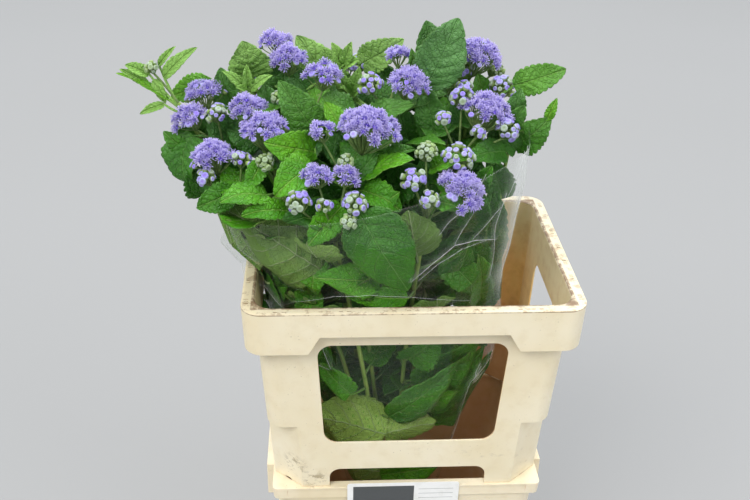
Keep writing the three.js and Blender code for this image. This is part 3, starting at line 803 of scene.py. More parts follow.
def stem_skin(name, pale, deep):
    """A young stem's skin: faintly ribbed along, downy, and tinged with purple here and there."""
    made, start = new_finish(name)
    place = start.place()
    height = place.height()
    broad = place.grain(30, 3)
    down = place.grain(2400, 3, 0.7)
    ribs = place.grain(700, 3, 0.6, stretch=(1.0, 1.0, 0.05))
    colour = (broad.between(0.35, 0.7) * 0.7).mix(pale, deep)
    colour = (height.between(*STEM_DARK_SPAN) * 0.5).mix(colour, deep)
    colour = (place.grain(45, 4).between(0.6, 0.8) * 0.28).mix(colour, paint(110, 70, 96))
    colour = (down.between(0.5, 0.8) * 0.25).mix(colour, paint(214, 226, 178))
    sockets = {
        "Base Color": colour,
        "Roughness": 0.44 + 0.2 * broad,
        "Normal": (ribs + 0.4 * down).bump(0.0003, 0.5),
        "Subsurface Weight": 0.15,
        "Subsurface Radius": (0.002, 0.003, 0.001),
        "Subsurface Scale": 1.0,
    }
    start.principled(sockets).shown()
    return made


# A round stalk along each line of a piece's mesh, as thick as its points' "thick" attribute says
stalk_tree, entry = growing_tree("stalks", {"Thickness": 1.0})
line = entry.node("GeometryNodeMeshToCurve", {}, {"Mesh": entry})
thick = entry.carried("thick", "FLOAT")
ring = line.node("GeometryNodeCurvePrimitiveCircle", {}, {"Resolution": 8, "Radius": 1.0})
thickness = thick * entry.also("Thickness")
sockets = {"Curve": line, "Profile Curve": ring, "Scale": thickness, "Fill Caps": True}
tube = line.node("GeometryNodeCurveToMesh", {}, sockets)
tube = tube.node("GeometryNodeSetShadeSmooth", {}, {"Geometry": tube})
tree_ends(tube, entry)


def stalk_piece(name, places, radii, finish, closed=False):
    """A piece that is one stalk along a line of places, open or closed to a ring."""
    made = new_piece(name, places, [])
    count = len(places)
    steps = count if closed else count - 1
    made.data.edges.add(steps)
    made.data.edges.foreach_set("vertices", [end for k in range(steps) for end in (k, (k + 1) % count)])
    carry(made, "thick", "FLOAT", radii)
    return grown(made, stalk_tree, finish)


stem_green = stem_skin("stem_green", paint(150, 178, 84), paint(92, 134, 52))
names = list(HEADS)
random.seed(11)
for number, name in enumerate(names, 1):
    top = fork(name).z
    foot = BUCKET_FLOOR + 0.3 * MM
    joints = [random.uniform(55, 75) * MM * k + random.uniform(0, 20) * MM for k in range(1, JOINTS + 1)]
    places = []
    radii = []
    for k in range(STEM_STEPS + 1):
        z = foot + (top - foot) * k / STEM_STEPS
        swelling = sum(math.exp(-(((z - joint) / JOINT_HALF) ** 2)) for joint in joints)
        places.append(stem_point(name, z))
        radii.append(stem_radius(z) * (0.97 + 0.16 * min(1.0, swelling)))
    stem = stalk_piece(f"flowering_stem_{number}", places, radii, stem_green)
    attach(stem, "root")
    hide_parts(f"stem_{number}")

# A side shoot's stalk, which leaves one of the stems at a joint and runs up inside the film
SIDE_STALK_STEM = "m"
SIDE_STALK_FOOT = 500 * MM
SIDE_STALK = [
    (82, -26, 520), (100, -30, 569), (106, -26, 609), (109, -20, 650), (113, -14, 687), (119, -8, 724),
]
SIDE_STALK_RADII = (2.8 * MM, 2.2 * MM)

places = [stem_point(SIDE_STALK_STEM, SIDE_STALK_FOOT), *(Vector(place) * MM for place in SIDE_STALK)]
radii = np.linspace(*SIDE_STALK_RADII, len(places))
side_stalk = stalk_piece("side_stalk", places, radii, stem_green)
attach(side_stalk, "root")

# ----------------------------------------------------------------------
# The rubber ring: a flat elastic band stretched round the outermost stems at the bunch's waist.
# ----------------------------------------------------------------------
RING_Z = 215 * MM
RING_RADIUS = 1.2 * MM
RING_GAP = 0.6 * MM
RING_STEPS = 96

rubber, start = new_finish("tan_rubber")
place = start.place()
bloom = place.grain(120, 3)
sockets = {
    "Base Color": bloom.mix(paint(196, 148, 84), paint(168, 120, 66)),
    "Roughness": 0.62 + 0.2 * bloom,
    "Normal": place.grain(1800, 2).bump(0.0001, 0.5),
}
start.principled(sockets).shown()

centres = [stem_point(name, RING_Z) for name in names]
middle = bunch_axis(RING_Z)
places = []
for k in range(RING_STEPS):
    out = Vector((math.cos(2 * math.pi * k / RING_STEPS), math.sin(2 * math.pi * k / RING_STEPS), 0))
    outermost = max(centres, key=lambda centre: (centre - middle).dot(out))
    places.append(outermost + out * (stem_radius(RING_Z) + RING_GAP + RING_RADIUS))
band = stalk_piece("rubber_ring", places, [RING_RADIUS] * RING_STEPS, rubber, closed=True)
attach(band, "root")
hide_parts("elastic_band")

# ----------------------------------------------------------------------
# The flower heads: each stem divides into stalks that carry domed cushions of small heads. A closed head is
# a green cup packed with violet buds. In an open one the buds have burst into a brush of fine threads.
# ----------------------------------------------------------------------
BUD_WIDTH = {"open": 5.6 * MM, "bud": 8.2 * MM, "green": 6.6 * MM}
OPEN_LOBE_RISE = 0.56
BALL_REACH = math.radians(120)
LOBE_UPRIGHT = 0.8
LOBE_STALK_RADII = (1.5 * MM, 1.25 * MM)
CUP_STALK_RADII = (0.75 * MM, 0.55 * MM)
SHORTEST_STALK = 4 * MM
STALK_BEND = 3 * MM
HEADS_PER_SQUARE_MM = {"open": 0.056, "bud": 0.1, "green": 0.18}
FEWEST_HEADS = 5
HEAD_SIZES = (0.62, 1.14)
TURN_JITTER = 0.3
THREADS = 60
THREAD_LENGTH = 6.3 * MM
THREAD_WIDTH = 1.2 * MM
THREAD_SIZES = (0.6, 1.25)
GOLDEN_TURN = math.pi * (3 - math.sqrt(5))

# Heads ripen from the middle of a lobe outwards: how much of it is its middle, and the share of heads that
# have opened there and at its edge, and in a closed lobe the share that has turned from green to violet
OPEN_MIDDLE = 0.74
OPENED_SHARES = (0.94, 0.5)
RIPE_MIDDLE = 0.6
RIPE_SHARES = (0.86, 0.62)

# Kinds of point that a head's mesh holds
STALK, CUP, THREAD = 0, 1, 2

flower_finish, start = new_finish("ageratum_flowers")
part = start.attribute("part")
tone = start.attribute("tone")
bloom = start.attribute("bloom")
place = start.place()
speckle = place.node("ShaderNodeTexVoronoi", {"feature": "F1"}, {"Vector": place, "Scale": 1150.0})
broad = place.grain(160, 2)
thread_is = part.between(1.4, 1.6)
tip = part - 2.0
stalk_is = part.between(-0.4, -0.6)
cup = tone.mix(paint(160, 184, 110), paint(134, 166, 88))
cup = (part.between(0.28, 0.42) * (0.2 + 0.4 * tone)).mix(cup, paint(150, 136, 160))
closed = tone.mix(paint(176, 180, 218), paint(142, 126, 220))
heart = tone.mix(paint(150, 128, 206), paint(122, 92, 196))
closed = (part.between(0.64, 0.9) * 0.85).mix(closed, heart)
closed = (speckle.between(0.5, 0.1) * 0.4).mix(closed, paint(196, 194, 238))
unripe = tone.mix(paint(150, 176, 112), paint(166, 182, 166))
unripe = (part.between(0.7, 0.9) * 0.6).mix(unripe, paint(132, 150, 104))
closed = bloom.between(-0.2, -0.6).mix(closed, unripe)
core = tone.mix(paint(126, 104, 216), paint(104, 82, 196))
closed = bloom.between(0.6, 0.9).mix(closed, core)
head_colour = part.between(0.42, 0.5).mix(cup, closed)
# The threads are violet at the root and paler to white at the tip: partly their own colour, partly painted
# shade deep in the brush and painted highlight on the lit tips
thread = tip.between(0.15, 0.8).mix(paint(142, 120, 255), paint(226, 216, 255))
thread = (tone * tip.between(0.3, 0.9) * 0.5).mix(thread, paint(244, 240, 255))
thread = (broad.between(0.45, 0.75) * 0.2).mix(thread, paint(160, 138, 248))
stalk = broad.between(0.3, 0.7).mix(paint(134, 160, 92), paint(104, 130, 78))
colour = thread_is.mix(head_colour, thread)
colour = stalk_is.mix(colour, stalk)
relief = speckle * (1 - thread_is) + 0.6 * place.grain(2600, 2)
sockets = {
    "Base Color": colour,
    "Roughness": 0.55 + 0.25 * broad,
    "Normal": relief.bump(0.0007, 0.6),
    "Specular IOR Level": 0.15,
}
solid = start.principled(sockets)
glow = start.node("ShaderNodeBsdfTranslucent", {}, {"Color": paint(222, 212, 255)})
solid.node("ShaderNodeMixShader", {}, {0: 0.5 * thread_is, 1: solid, 2: glow}).shown()


def turned_shape(name, profile, sides):
    """A small closed solid turned from a profile, with each ring's share of the profile as "part"."""
    places = []
    parts = []
    for share, radius, height in profile[1:-1]:
        for k in range(sides):
            turn = 2 * math.pi * k / sides
            places.append((radius * math.cos(turn), radius * math.sin(turn), height))
            parts.append(share)
    rings = len(profile) - 2
    faces = []
    for ring in range(rings - 1):
        for k in range(sides):
            low = ring * sides
            after = (k + 1) % sides
            faces.append((low + k, low + after, low + sides + after, low + sides + k))
    for share, radius, height in (profile[0], profile[-1]):
        places.append((0, 0, height))
        parts.append(share)
    foot = len(places) - 2
    last = (rings - 1) * sides
    faces += [(foot, (k + 1) % sides, k) for k in range(sides)]
    faces += [(foot + 1, last + k, last + (k + 1) % sides) for k in range(sides)]
    made = new_piece(name, places, faces)
    carry(made, "part", "FLOAT", parts)
    return made


# Share, radius and height of a closed head one unit wide, from the foot of its cup to its dimpled crown
cup_shape = turned_shape("cup_shape", [
    (0.0, 0, -0.26), (0.05, 0.28, -0.2), (0.2, 0.45, 0.06), (0.42, 0.49, 0.34), (0.5, 0.47, 0.46),
    (0.66, 0.38, 0.56), (0.8, 0.22, 0.53), (1.0, 0, 0.49),
], 9)
thread_shape = turned_shape("thread_shape", [(2.0, 0, 0), (2.85, 0.5, 0.9), (3.0, 0, 1.0)], 3)

head_sizes = {"Stalk Thickness": 1.0, "Head Width": 1.0, "Thread Width": THREAD_WIDTH, "Thread Length": 1.0}
head_tree, entry = growing_tree("flower_head", head_sizes)
kind = entry.carried("kind", "INT")
aim = entry.carried("aim", "FLOAT_VECTOR")
size = entry.carried("size", "FLOAT")
turn = aim.node("FunctionNodeAlignRotationToVector", {"axis": "Z"}, {"Vector": aim})


def of_kind(wanted):
    sockets = {2: kind, 3: wanted}
    return kind.node("FunctionNodeCompare", {"data_type": "INT", "operation": "EQUAL"}, sockets)


def set_on_points(shape, wanted, scale):
    source = entry.node("GeometryNodeObjectInfo", {}, {"Object": shape}, out="Geometry")
    sockets = {
        "Points": entry, "Selection": of_kind(wanted), "Instance": source, "Rotation": turn, "Scale": scale,
    }
    return entry.node("GeometryNodeInstanceOnPoints", {}, sockets)


width = size * entry.also("Head Width")
even = entry.node("ShaderNodeCombineXYZ", {}, {"X": width, "Y": width, "Z": width})
cups = set_on_points(cup_shape, CUP, even)
thread_width = entry.also("Thread Width")
thread_length = size * entry.also("Thread Length")
slim = entry.node("ShaderNodeCombineXYZ", {}, {"X": thread_width, "Y": thread_width, "Z": thread_length})
threads = set_on_points(thread_shape, THREAD, slim)
line = entry.node("GeometryNodeMeshToCurve", {}, {"Mesh": entry, "Selection": of_kind(STALK)})
ring = line.node("GeometryNodeCurvePrimitiveCircle", {}, {"Resolution": 6, "Radius": 1.0})
thickness = size * entry.also("Stalk Thickness")
sockets = {"Curve": line, "Profile Curve": ring, "Scale": thickness, "Fill Caps": True}
stalks = line.node("GeometryNodeCurveToMesh", {}, sockets)
stalks = stalks.node("GeometryNodeStoreNamedAttribute", {"data_type": "FLOAT", "domain": "POINT"}, {
    "Geometry": stalks, "Name": "part", "Value": -1.0,
})
cluster = entry.node("GeometryNodeJoinGeometry")
for piece in (cups, threads, stalks):
    cluster.tree.links.new(piece.socket, cluster.socket.node.inputs[0])
real = cluster.node("GeometryNodeRealizeInstances", {}, {0: cluster})
smooth = real.node("GeometryNodeSetShadeSmooth", {}, {"Geometry": real})
tree_ends(smooth, entry)


def frame_round(axis):
    """Two directions at right angles to an axis and to each other."""
    side = axis.cross(Vector((0.3, 0.9, 0.1))).normalized()
    return side, axis.cross(side)


def stalk_line(points, edges, start, middle, end, radii, rows, steps):
    """Adds a bent stalk from start to end to a head's points."""
    first = len(points)
    for k in range(steps + 1):
        t = k / steps
        points.append(start * (1 - t) ** 2 + middle * 2 * t * (1 - t) + end * t * t)
        rows.append((STALK, Vector((0, 0, 1)), radii[0] + (radii[1] - radii[0]) * t, 0.5, 0.0))
    edges += [(first + k, first + k + 1) for k in range(steps)]


def cushion_seat(centre, axis, out, t, turning, radius_mm):
    """Where a small head sits in an open lobe, a loose dome, and the way it faces."""
    radius = radius_mm * MM
    lumps = 1 + 0.13 * math.sin(3 * turning + radius_mm) + 0.05 * math.sin(7 * turning)
    reach = radius * 0.93 * lumps * math.sqrt(t) * random.uniform(0.9, 1.06)
    lift = OPEN_LOBE_RISE * radius * (1 - 1.2 * t) + random.uniform(-2.4, 2.0) * MM - 1.5 * MM
    seat = centre + out * reach + axis * lift
    return seat, (axis + out * (0.25 + 0.95 * math.sqrt(t))).normalized()


def ball_seat(centre, axis, out, t, radius, bud_width):
    """Where a closed head sits in a lobe of them, nearly a ball, and the way it faces."""
    tilt = math.acos(1 - t * (1 - math.cos(BALL_REACH))) + random.uniform(-0.13, 0.13)
    aim = axis * math.cos(tilt) + out * math.sin(tilt)
    reach = (radius - 0.5 * bud_width) * random.uniform(0.78, 1.14)
    return centre + aim * reach - axis * (0.06 + 0.12 * math.cos(tilt)) * radius, aim


def brush(points, rows, seat, aim, width, hue):
    """Adds the fine threads that burst from an open head's crown."""
    side, over = frame_round(aim)
    crown = seat + aim * width * 0.35
    count = int(THREADS * random.uniform(0.8, 1.1))
    for k in range(count):
        up = 1 - 1.12 * (k + 0.5) / count
        flat = math.sqrt(max(0.0, 1 - up * up))
        angle = GOLDEN_TURN * k + random.uniform(-TURN_JITTER, TURN_JITTER)
        spoke = side * math.cos(angle) * flat + over * math.sin(angle) * flat
        ray = (spoke + aim * (up + 0.12)).normalized()
        points.append(crown + ray * width * 0.28)
        length = THREAD_LENGTH * random.uniform(*THREAD_SIZES)
        rows.append((THREAD, ray, length, random.random() * 0.6 + 0.4 * hue, 1.0))


def flower_head(name, number):
    """One stem's head: its stalks, cups and threads as points, then grown into a mesh."""
    points = []
    edges = []
    rows = []
    root = fork(name)
    for x, y, z, radius_mm, state in HEADS[name]:
        centre = Vector((x, y, z)) * MM
        radius = radius_mm * MM
        axis = (centre - root).normalized() + Vector((0, 0, LOBE_UPRIGHT))
        axis.normalize()
        side, over = frame_round(axis)
        meeting = centre - axis * radius * 0.9
        if (meeting - root).length < SHORTEST_STALK:
            meeting = root + Vector((0, 0, SHORTEST_STALK))
        bend = root.lerp(meeting, 0.45) + Vector((0, 0, STALK_BEND))
        stalk_line(points, edges, root, bend, meeting, LOBE_STALK_RADII, rows, 7)
        count = max(FEWEST_HEADS, round(HEADS_PER_SQUARE_MM[state] * radius_mm ** 2))
        for k in range(count):
            t = (k + 0.5) / count
            turning = GOLDEN_TURN * k + random.uniform(-TURN_JITTER, TURN_JITTER)
            out = side * math.cos(turning) + over * math.sin(turning)
            if state == "open":
                seat, aim = cushion_seat(centre, axis, out, t, turning, radius_mm)
            else:
                seat, aim = ball_seat(centre, axis, out, t, radius, BUD_WIDTH[state])
            nod = Vector((random.uniform(-0.2, 0.2), random.uniform(-0.28, 0.12), random.uniform(0, 0.24)))
            aim = (aim + nod).normalized()
            opened = random.random() < OPENED_SHARES[t >= OPEN_MIDDLE] and state == "open"
            ripe = state != "green"
            width = BUD_WIDTH["open" if opened else ("bud" if ripe else "green")]
            width *= random.uniform(*HEAD_SIZES)
            hue = random.random()
            green_left = state == "bud" and hue > RIPE_SHARES[t >= RIPE_MIDDLE]
            ripeness = 1.0 if opened else (0.0 if ripe and not green_left else -1.0)
            points.append(seat)
            rows.append((CUP, aim, width, hue, ripeness))
            foot = seat - aim * width * 0.1
            knee = meeting.lerp(foot, 0.6) + out * math.sqrt(t) * radius * 0.12 - axis * 1.5 * MM
            stalk_line(points, edges, meeting, knee, foot, CUP_STALK_RADII, rows, 4)
            if opened:
                brush(points, rows, seat, aim, width, hue)
    head = new_piece(f"ageratum_head_{number}", points, [])
    head.data.edges.add(len(edges))
    head.data.edges.foreach_set("vertices", [end for edge in edges for end in edge])
    kinds, aims, sizes, tones, blooms = zip(*rows)
    layer = head.data.attributes.new("kind", "INT", "POINT")
    layer.data.foreach_set("value", kinds)
    carry(head, "aim", "FLOAT_VECTOR", aims)
    carry(head, "size", "FLOAT", sizes)
    carry(head, "tone", "FLOAT", tones)
    carry(head, "bloom", "FLOAT", blooms)
    return grown(head, head_tree, flower_finish)


random.seed(23)
for number, name in enumerate(names, 1):
    head = flower_head(name, number)
    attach(head, "root")
    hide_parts(f"flower_head_{number}")
bpy.data.objects.remove(cup_shape)
bpy.data.objects.remove(thread_shape)

# ----------------------------------------------------------------------
# The leaves: soft, broad, toothed blades on short stalks, in pairs up each stem. Sunken veins pucker the
# upper side and stand proud on the paler underside. Those inside the sleeve lie flat against the film.
# ----------------------------------------------------------------------
LEAF_THICKNESS = 0.5 * MM
LEAF_CUP = 0.12
TOOTH_DEPTH = 3.0 * MM
PETIOLE_SHARE = 0.18
PETIOLE_HALF = 1.5 * MM
STALK_ROWS = 5
VEINS = 6.2
VEIN_SLANT = 1.75
VEIN_PUCKER = 0.036
MIDRIB_HALF = 1.6 * MM
MIDRIB_DEPTH = 0.7 * MM
TEXTURE_SCALE = 10
# Heights over which upper leaves are painted lighter, a painted sheen of light from above
PAINTED_SHEEN_SPAN = (690 * MM, 800 * MM)
SLEEVE_TOP_Z = 698 * MM
SLEEVE_TOP_TILT = 44 * MM
SLEEVE_HOLDS_ABOVE = 14 * MM
SLEEVE_EASING = 16 * MM

# The sleeve's outline: height, centre x and y, half width and half depth, in millimetres
SLEEVE_RINGS = np.array([
    (165, -8, 0, 62, 50), (290, -10, -2, 88, 74), (365, -15, -5, 112, 92), (425, -26, -9, 148, 104),
    (500, -27.2, -11, 152.6, 110), (572, -32.3, -15, 152, 117), (608, -46, -18, 172, 125),
    (650, -50, -19, 180, 131), (698, -48, -19, 186, 137),
]) * MM


def sleeve_outline(z):
    heights = SLEEVE_RINGS[:, 0]
    return [np.interp(z, heights, SLEEVE_RINGS[:, k]) for k in (1, 2, 3, 4)]


def inside_sleeve(places, clearance):
    """Moves what would lie outside the sleeve, below its upper edge, in against the film."""
    moved = places.copy()
    centre_x, centre_y, half_x, half_y = sleeve_outline(places[:, 2])
    x = (places[:, 0] - centre_x) / (half_x - clearance)
    y = (places[:, 1] - centre_y) / (half_y - clearance)
    reach = np.hypot(x, y)
    edge = SLEEVE_TOP_Z + SLEEVE_TOP_TILT * x / np.maximum(reach, 1e-6)
    held = np.clip((edge + SLEEVE_HOLDS_ABOVE - places[:, 2]) / SLEEVE_EASING, 0, 1)
    held = held * held * (3 - 2 * held)
    scale = np.where(reach > 1, 1 / np.maximum(reach, 1e-6), 1.0)
    scale = 1 + (scale - 1) * held
    moved[:, 0] = centre_x + (places[:, 0] - centre_x) * scale
    moved[:, 1] = centre_y + (places[:, 1] - centre_y) * scale
    return moved


def leaf_skin(name, paleness_and_light):
    """A leaf's skin: green between pale veins, glossy above, downy, paler and matt below, with a painted
    sheen near the top of the bunch and painted shade in its sunken small veins.
    """
    made, start = new_finish(name)
    tone = start.attribute("tone")
    under = start.attribute("under")
    phase = start.attribute("phase")
    rib = start.attribute("rib")
    margin = start.attribute("margin")
    flat = start.node("ShaderNodeUVMap", {"uv_map": "blade"})
    place = start.place()
    side = abs((phase + 0.5).fraction() - 0.5)
    side_vein = side.between(0.06, 0.012) * margin.between(0.98, 0.6)
    midrib = rib.between(1.3, 0.35)
    vein = midrib.most(side_vein * 0.85)
    net = flat.node("ShaderNodeTexVoronoi", {"feature": "DISTANCE_TO_EDGE"}, {"Vector": flat, "Scale": 19.0})
    mesh_vein = net.between(0.16, 0.01) * 0.5
    broad = place.grain(28, 3)
    fine = flat.grain(48, 4, 0.6)
    # The tone sets how fresh and light the green is, and on some leaves stands in for painted light and
    # painted shade
    deep = tone.mix(paint(26, 78, 16), paint(68, 148, 10))
    fresh = tone.mix(paint(56, 120, 30), paint(104, 186, 12))
    colour = (broad.between(0.3, 0.7) * 0.65 + fine.between(0.3, 0.7) * 0.35).mix(deep, fresh)
    # Darker in the sunken net of small veins: partly their own colour, partly painted shade in the grooves
    colour = (mesh_vein * 0.22).mix(colour, tone.mix(paint(16, 54, 18), paint(52, 120, 16)))
    colour = (vein * 0.42).mix(colour, tone.mix(paint(104, 158, 84), paint(170, 212, 96)))
    # Leaves near the top of the bunch are painted lighter: a painted sheen of light from above
    height = place.height()
    crown = height.between(*PAINTED_SHEEN_SPAN) * (0.16 + 0.4 * broad)
    colour = crown.mix(colour, tone.mix(paint(126, 180, 104), paint(146, 208, 60)))
    # Paler where asked: young leaves are pale of their own, and leaves in full light are painted paler as
    # painted light
    colour = (broad * 0.3 + paleness_and_light).mix(colour, paint(170, 214, 118)) if paleness_and_light else colour
    back = (broad * 0.6).mix(paint(92, 130, 54), paint(122, 160, 70))
    # Undersides paler with a high tone: partly a fresh leaf's own colour, partly painted light on leaves in
    # the collar's shade
    back = (tone * tone * 0.9).mix(back, paint(172, 208, 98))
    back = (mesh_vein * 0.16).mix(back, paint(146, 174, 116))
    back = (vein * 0.75).mix(back, paint(172, 194, 138))
    colour = under.mix(colour, back)
    colour = (margin.between(0.93, 1.0) * 0.25).mix(colour, paint(120, 150, 70))
    puckers = fine * 0.35 - mesh_vein * 1.1 - vein * 1.3
    relief = under.node("ShaderNodeMix", {"data_type": "FLOAT"}, {0: under, 2: puckers, 3: 0 - puckers})
    relief = relief + 0.25 * place.grain(1800, 2)
    sockets = {
        "Base Color": colour,
        "Roughness": 0.26 + 0.16 * fine + 0.3 * under,
        "Normal": relief.bump(0.0019, 0.85),
        "Specular IOR Level": 0.45,
    }
    solid = start.principled(sockets)
    glow = start.node("ShaderNodeBsdfTranslucent", {}, {"Color": paint(104, 176, 30)})
    solid.node("ShaderNodeMixShader", {}, {0: 0.15, 1: solid, 2: glow}).shown()
    return made


def bezier(start, middle, end, count):
    steps = np.linspace(0, 1, count)[:, None]
    start, middle, end = (np.array(point) for point in (start, middle, end))
    return start * (1 - steps) ** 2 + middle * 2 * steps * (1 - steps) + end * steps ** 2


def along_path(path, shares):
    """Points and directions at shares of a path's length."""
    lengths = np.concatenate([[0], np.cumsum(np.linalg.norm(np.diff(path, axis=0), axis=1))])
    at = shares * lengths[-1]
    points = np.stack([np.interp(at, lengths, path[:, k]) for k in range(3)], axis=1)
    ways = np.gradient(path, axis=0)
    ways = np.stack([np.interp(at, lengths, ways[:, k]) for k in range(3)], axis=1)
    return points, ways / np.linalg.norm(ways, axis=1)[:, None], lengths[-1]


def leaf_path(joint, bend, foot, middle, tip, stalk_steps=12, blade_steps=40):
    """The line from a leaf's joint to its tip, and the share of it that is bare stalk."""
    stalk = bezier(joint, bend, foot, stalk_steps)
    path = np.concatenate([stalk[:-1], bezier(foot, middle, tip, blade_steps)])
    lengths = np.linalg.norm(np.diff(path, axis=0), axis=1)
    return path, lengths[:stalk_steps - 1].sum() / lengths.sum()


def toothed_halves(shares, share, stalk_share, width, teeth):
    """Half the blade's width at each row, with a bite out of it between two teeth."""
    half = width / 2 * np.sin(np.pi * share ** 0.66) ** 0.62 * (1 - 0.3 * share ** 5)
    tooth = teeth * share ** 0.92
    rise = tooth % 1.0
    bite = np.sin(np.pi * rise ** 0.8) ** 0.55
    depth = min(0.17, TOOTH_DEPTH / (width / 2)) * (1 + 0.35 * np.sin(2.4 * np.floor(tooth) + 60 * width))
    half = half * (1.02 - depth * (1 - bite))
    tail = np.where(shares < stalk_share + 0.02, PETIOLE_HALF * 0.8, 0.25 * MM)
    return np.maximum(half, tail)


def blade_relief(x, u, share, half, phase, width, seed, wave, fold):
    """How far each point of a blade stands above its flat middle: cupped, puckered and waved."""
    is_blade = (share > 0)[:, None]
    pucker = 0.5 - 0.5 * np.cos(2 * np.pi * phase)
    body = np.clip(half[:, None] / (width / 2), 0, 1)
    height = LEAF_CUP * half[:, None] * u ** 2
    height = height + is_blade * body * (pucker - 0.4) * VEIN_PUCKER * width * (1 - np.abs(u) ** 3)
    height = height - is_blade * np.exp(-((x / MIDRIB_HALF) ** 2)) * MIDRIB_DEPTH
    ripple = np.sin(2 * np.pi * (2.3 * share[:, None] + 0.25 * np.sign(u)) + seed)
    height = height + is_blade * wave * ripple * np.abs(u) ** 2.2 * width * 0.5
    height = height + is_blade * fold * np.abs(x)
    swell = np.sin(2 * np.pi * 1.2 * share[:, None] + seed) * np.cos(2.6 * u + 2 * seed)
    return height + is_blade * 0.035 * width * swell * body


def blade_faces(grid):
    """The faces of a blade's upper side, underside and rim, and how far each is the underside."""
    count = grid[0] * grid[1]
    index = np.arange(count).reshape(grid)
    quads = np.stack([index[:-1, :-1], index[:-1, 1:], index[1:, 1:], index[1:, :-1]], axis=-1).reshape(-1, 4)
    edge = np.concatenate([index[:, 0][::-1], index[0, 1:], index[1:, -1], index[-1, 1:-1][::-1]])
    after = np.roll(edge, -1)
    rim = np.stack([edge, edge + count, after + count, after], axis=-1)
    faces = np.concatenate([quads, quads[:, ::-1] + count, rim])
    return faces, np.concatenate([np.zeros(len(quads)), np.ones(len(quads)), np.full(len(rim), 0.5)])


def blade(path, stalk_share, width, facing, tone, detail, clearance, wave, fold=0.0):
    """One leaf as a closed thin solid: places, faces and what its finish reads.

    Its detail is the number of its teeth, of the rows to a tooth, and of the columns across it.
    """
    teeth, rows_per_tooth, columns = detail
    stalk_shares = np.linspace(0, stalk_share, STALK_ROWS, endpoint=False)
    blade_shares = np.linspace(stalk_share, 1, teeth * rows_per_tooth + 1)
    shares = np.concatenate([stalk_shares, blade_shares])
    points, ways, length = along_path(np.asarray(path), shares)
    facing = np.asarray(facing) / np.linalg.norm(facing)
    across = np.cross(ways, facing)
    across /= np.linalg.norm(across, axis=1)[:, None]
    face = np.cross(across, ways)
    share = np.clip((shares - stalk_share) / (1 - stalk_share), 0, 1)
    half = toothed_halves(shares, share, stalk_share, width, teeth)
    u = np.linspace(-1, 1, columns + 1)[None, :]
    seed = random.random() * 60
    phase = VEINS * share[:, None] ** 0.86 - VEIN_SLANT * np.abs(u) ** 1.15 + 0.06 * np.sign(u)
    x = half[:, None] * u
    is_blade = (share > 0)[:, None]
    height = blade_relief(x, u, share, half, phase, width, seed, wave, fold)
    sway = np.sin(share * 5.1 + seed)[:, None] * 0.03 * width * is_blade
    centre = points[:, None, :] + across[:, None, :] * (x + 0.3 * sway)[:, :, None]
    thick = np.where(shares < stalk_share, PETIOLE_HALF * 1.5, LEAF_THICKNESS)[:, None]
    middle_x, middle_y, _, _ = sleeve_outline(centre[:, :, 2])
    outwards = np.stack([centre[:, :, 0] - middle_x, centre[:, :, 1] - middle_y], axis=-1)
    upper_is_outer = np.where((face[:, None, :2] * outwards).sum(axis=-1) > 0, 1, -1)
    layers = []
    for side in (0.5, -0.5):
        layer = centre + face[:, None, :] * (height + side * thick)[:, :, None]
        gap = clearance + (0.5 - side * upper_is_outer) * LEAF_THICKNESS
        layers.append(inside_sleeve(layer.reshape(-1, 3), gap.ravel()))
    grid = (len(shares), columns + 1)
    faces, under = blade_faces(grid)
    across_blade = np.broadcast_to(x * TEXTURE_SCALE, grid)
    along_blade = np.broadcast_to((shares * length * TEXTURE_SCALE)[:, None], grid)
    local = np.stack([across_blade, along_blade], axis=-1).reshape(-1, 2) + seed
    return {
        "places": np.concatenate(layers),
        "faces": faces,
        "under": under,
        "tone": np.full(2 * grid[0] * grid[1], tone),
        "phase": np.tile(np.where(is_blade, phase, 0.5).ravel(), 2),
        "rib": np.tile(np.abs(np.where(is_blade, x, 0)).ravel() / MM, 2),
        "margin": np.tile(np.broadcast_to(np.abs(u), grid).ravel(), 2),
        "local": np.tile(local, (2, 1)),
    }


def leaves_piece(name, blades, finish):
    """Joins blades into one piece with their attributes."""
    offsets = np.cumsum([0] + [len(b["places"]) for b in blades])
    places = np.concatenate([b["places"] for b in blades])
    faces = np.concatenate([b["faces"] + start for b, start in zip(blades, offsets)])
    made = new_piece(name, places.tolist(), faces.tolist())
    for key in ("tone", "phase", "rib", "margin"):
        carry(made, key, "FLOAT", np.concatenate([b[key] for b in blades]))
    layer = made.data.attributes.new("under", "FLOAT", "FACE")
    layer.data.foreach_set("value", np.concatenate([b["under"] for b in blades]))
    local = np.concatenate([b["local"] for b in blades])
    corners = np.empty(len(made.data.loops), dtype=int)
    made.data.loops.foreach_get("vertex_index", corners)
    made.data.uv_layers.new(name="blade").data.foreach_set("uv", local[corners].ravel())
    smoothed(made)
    finished(made, finish)
    return made


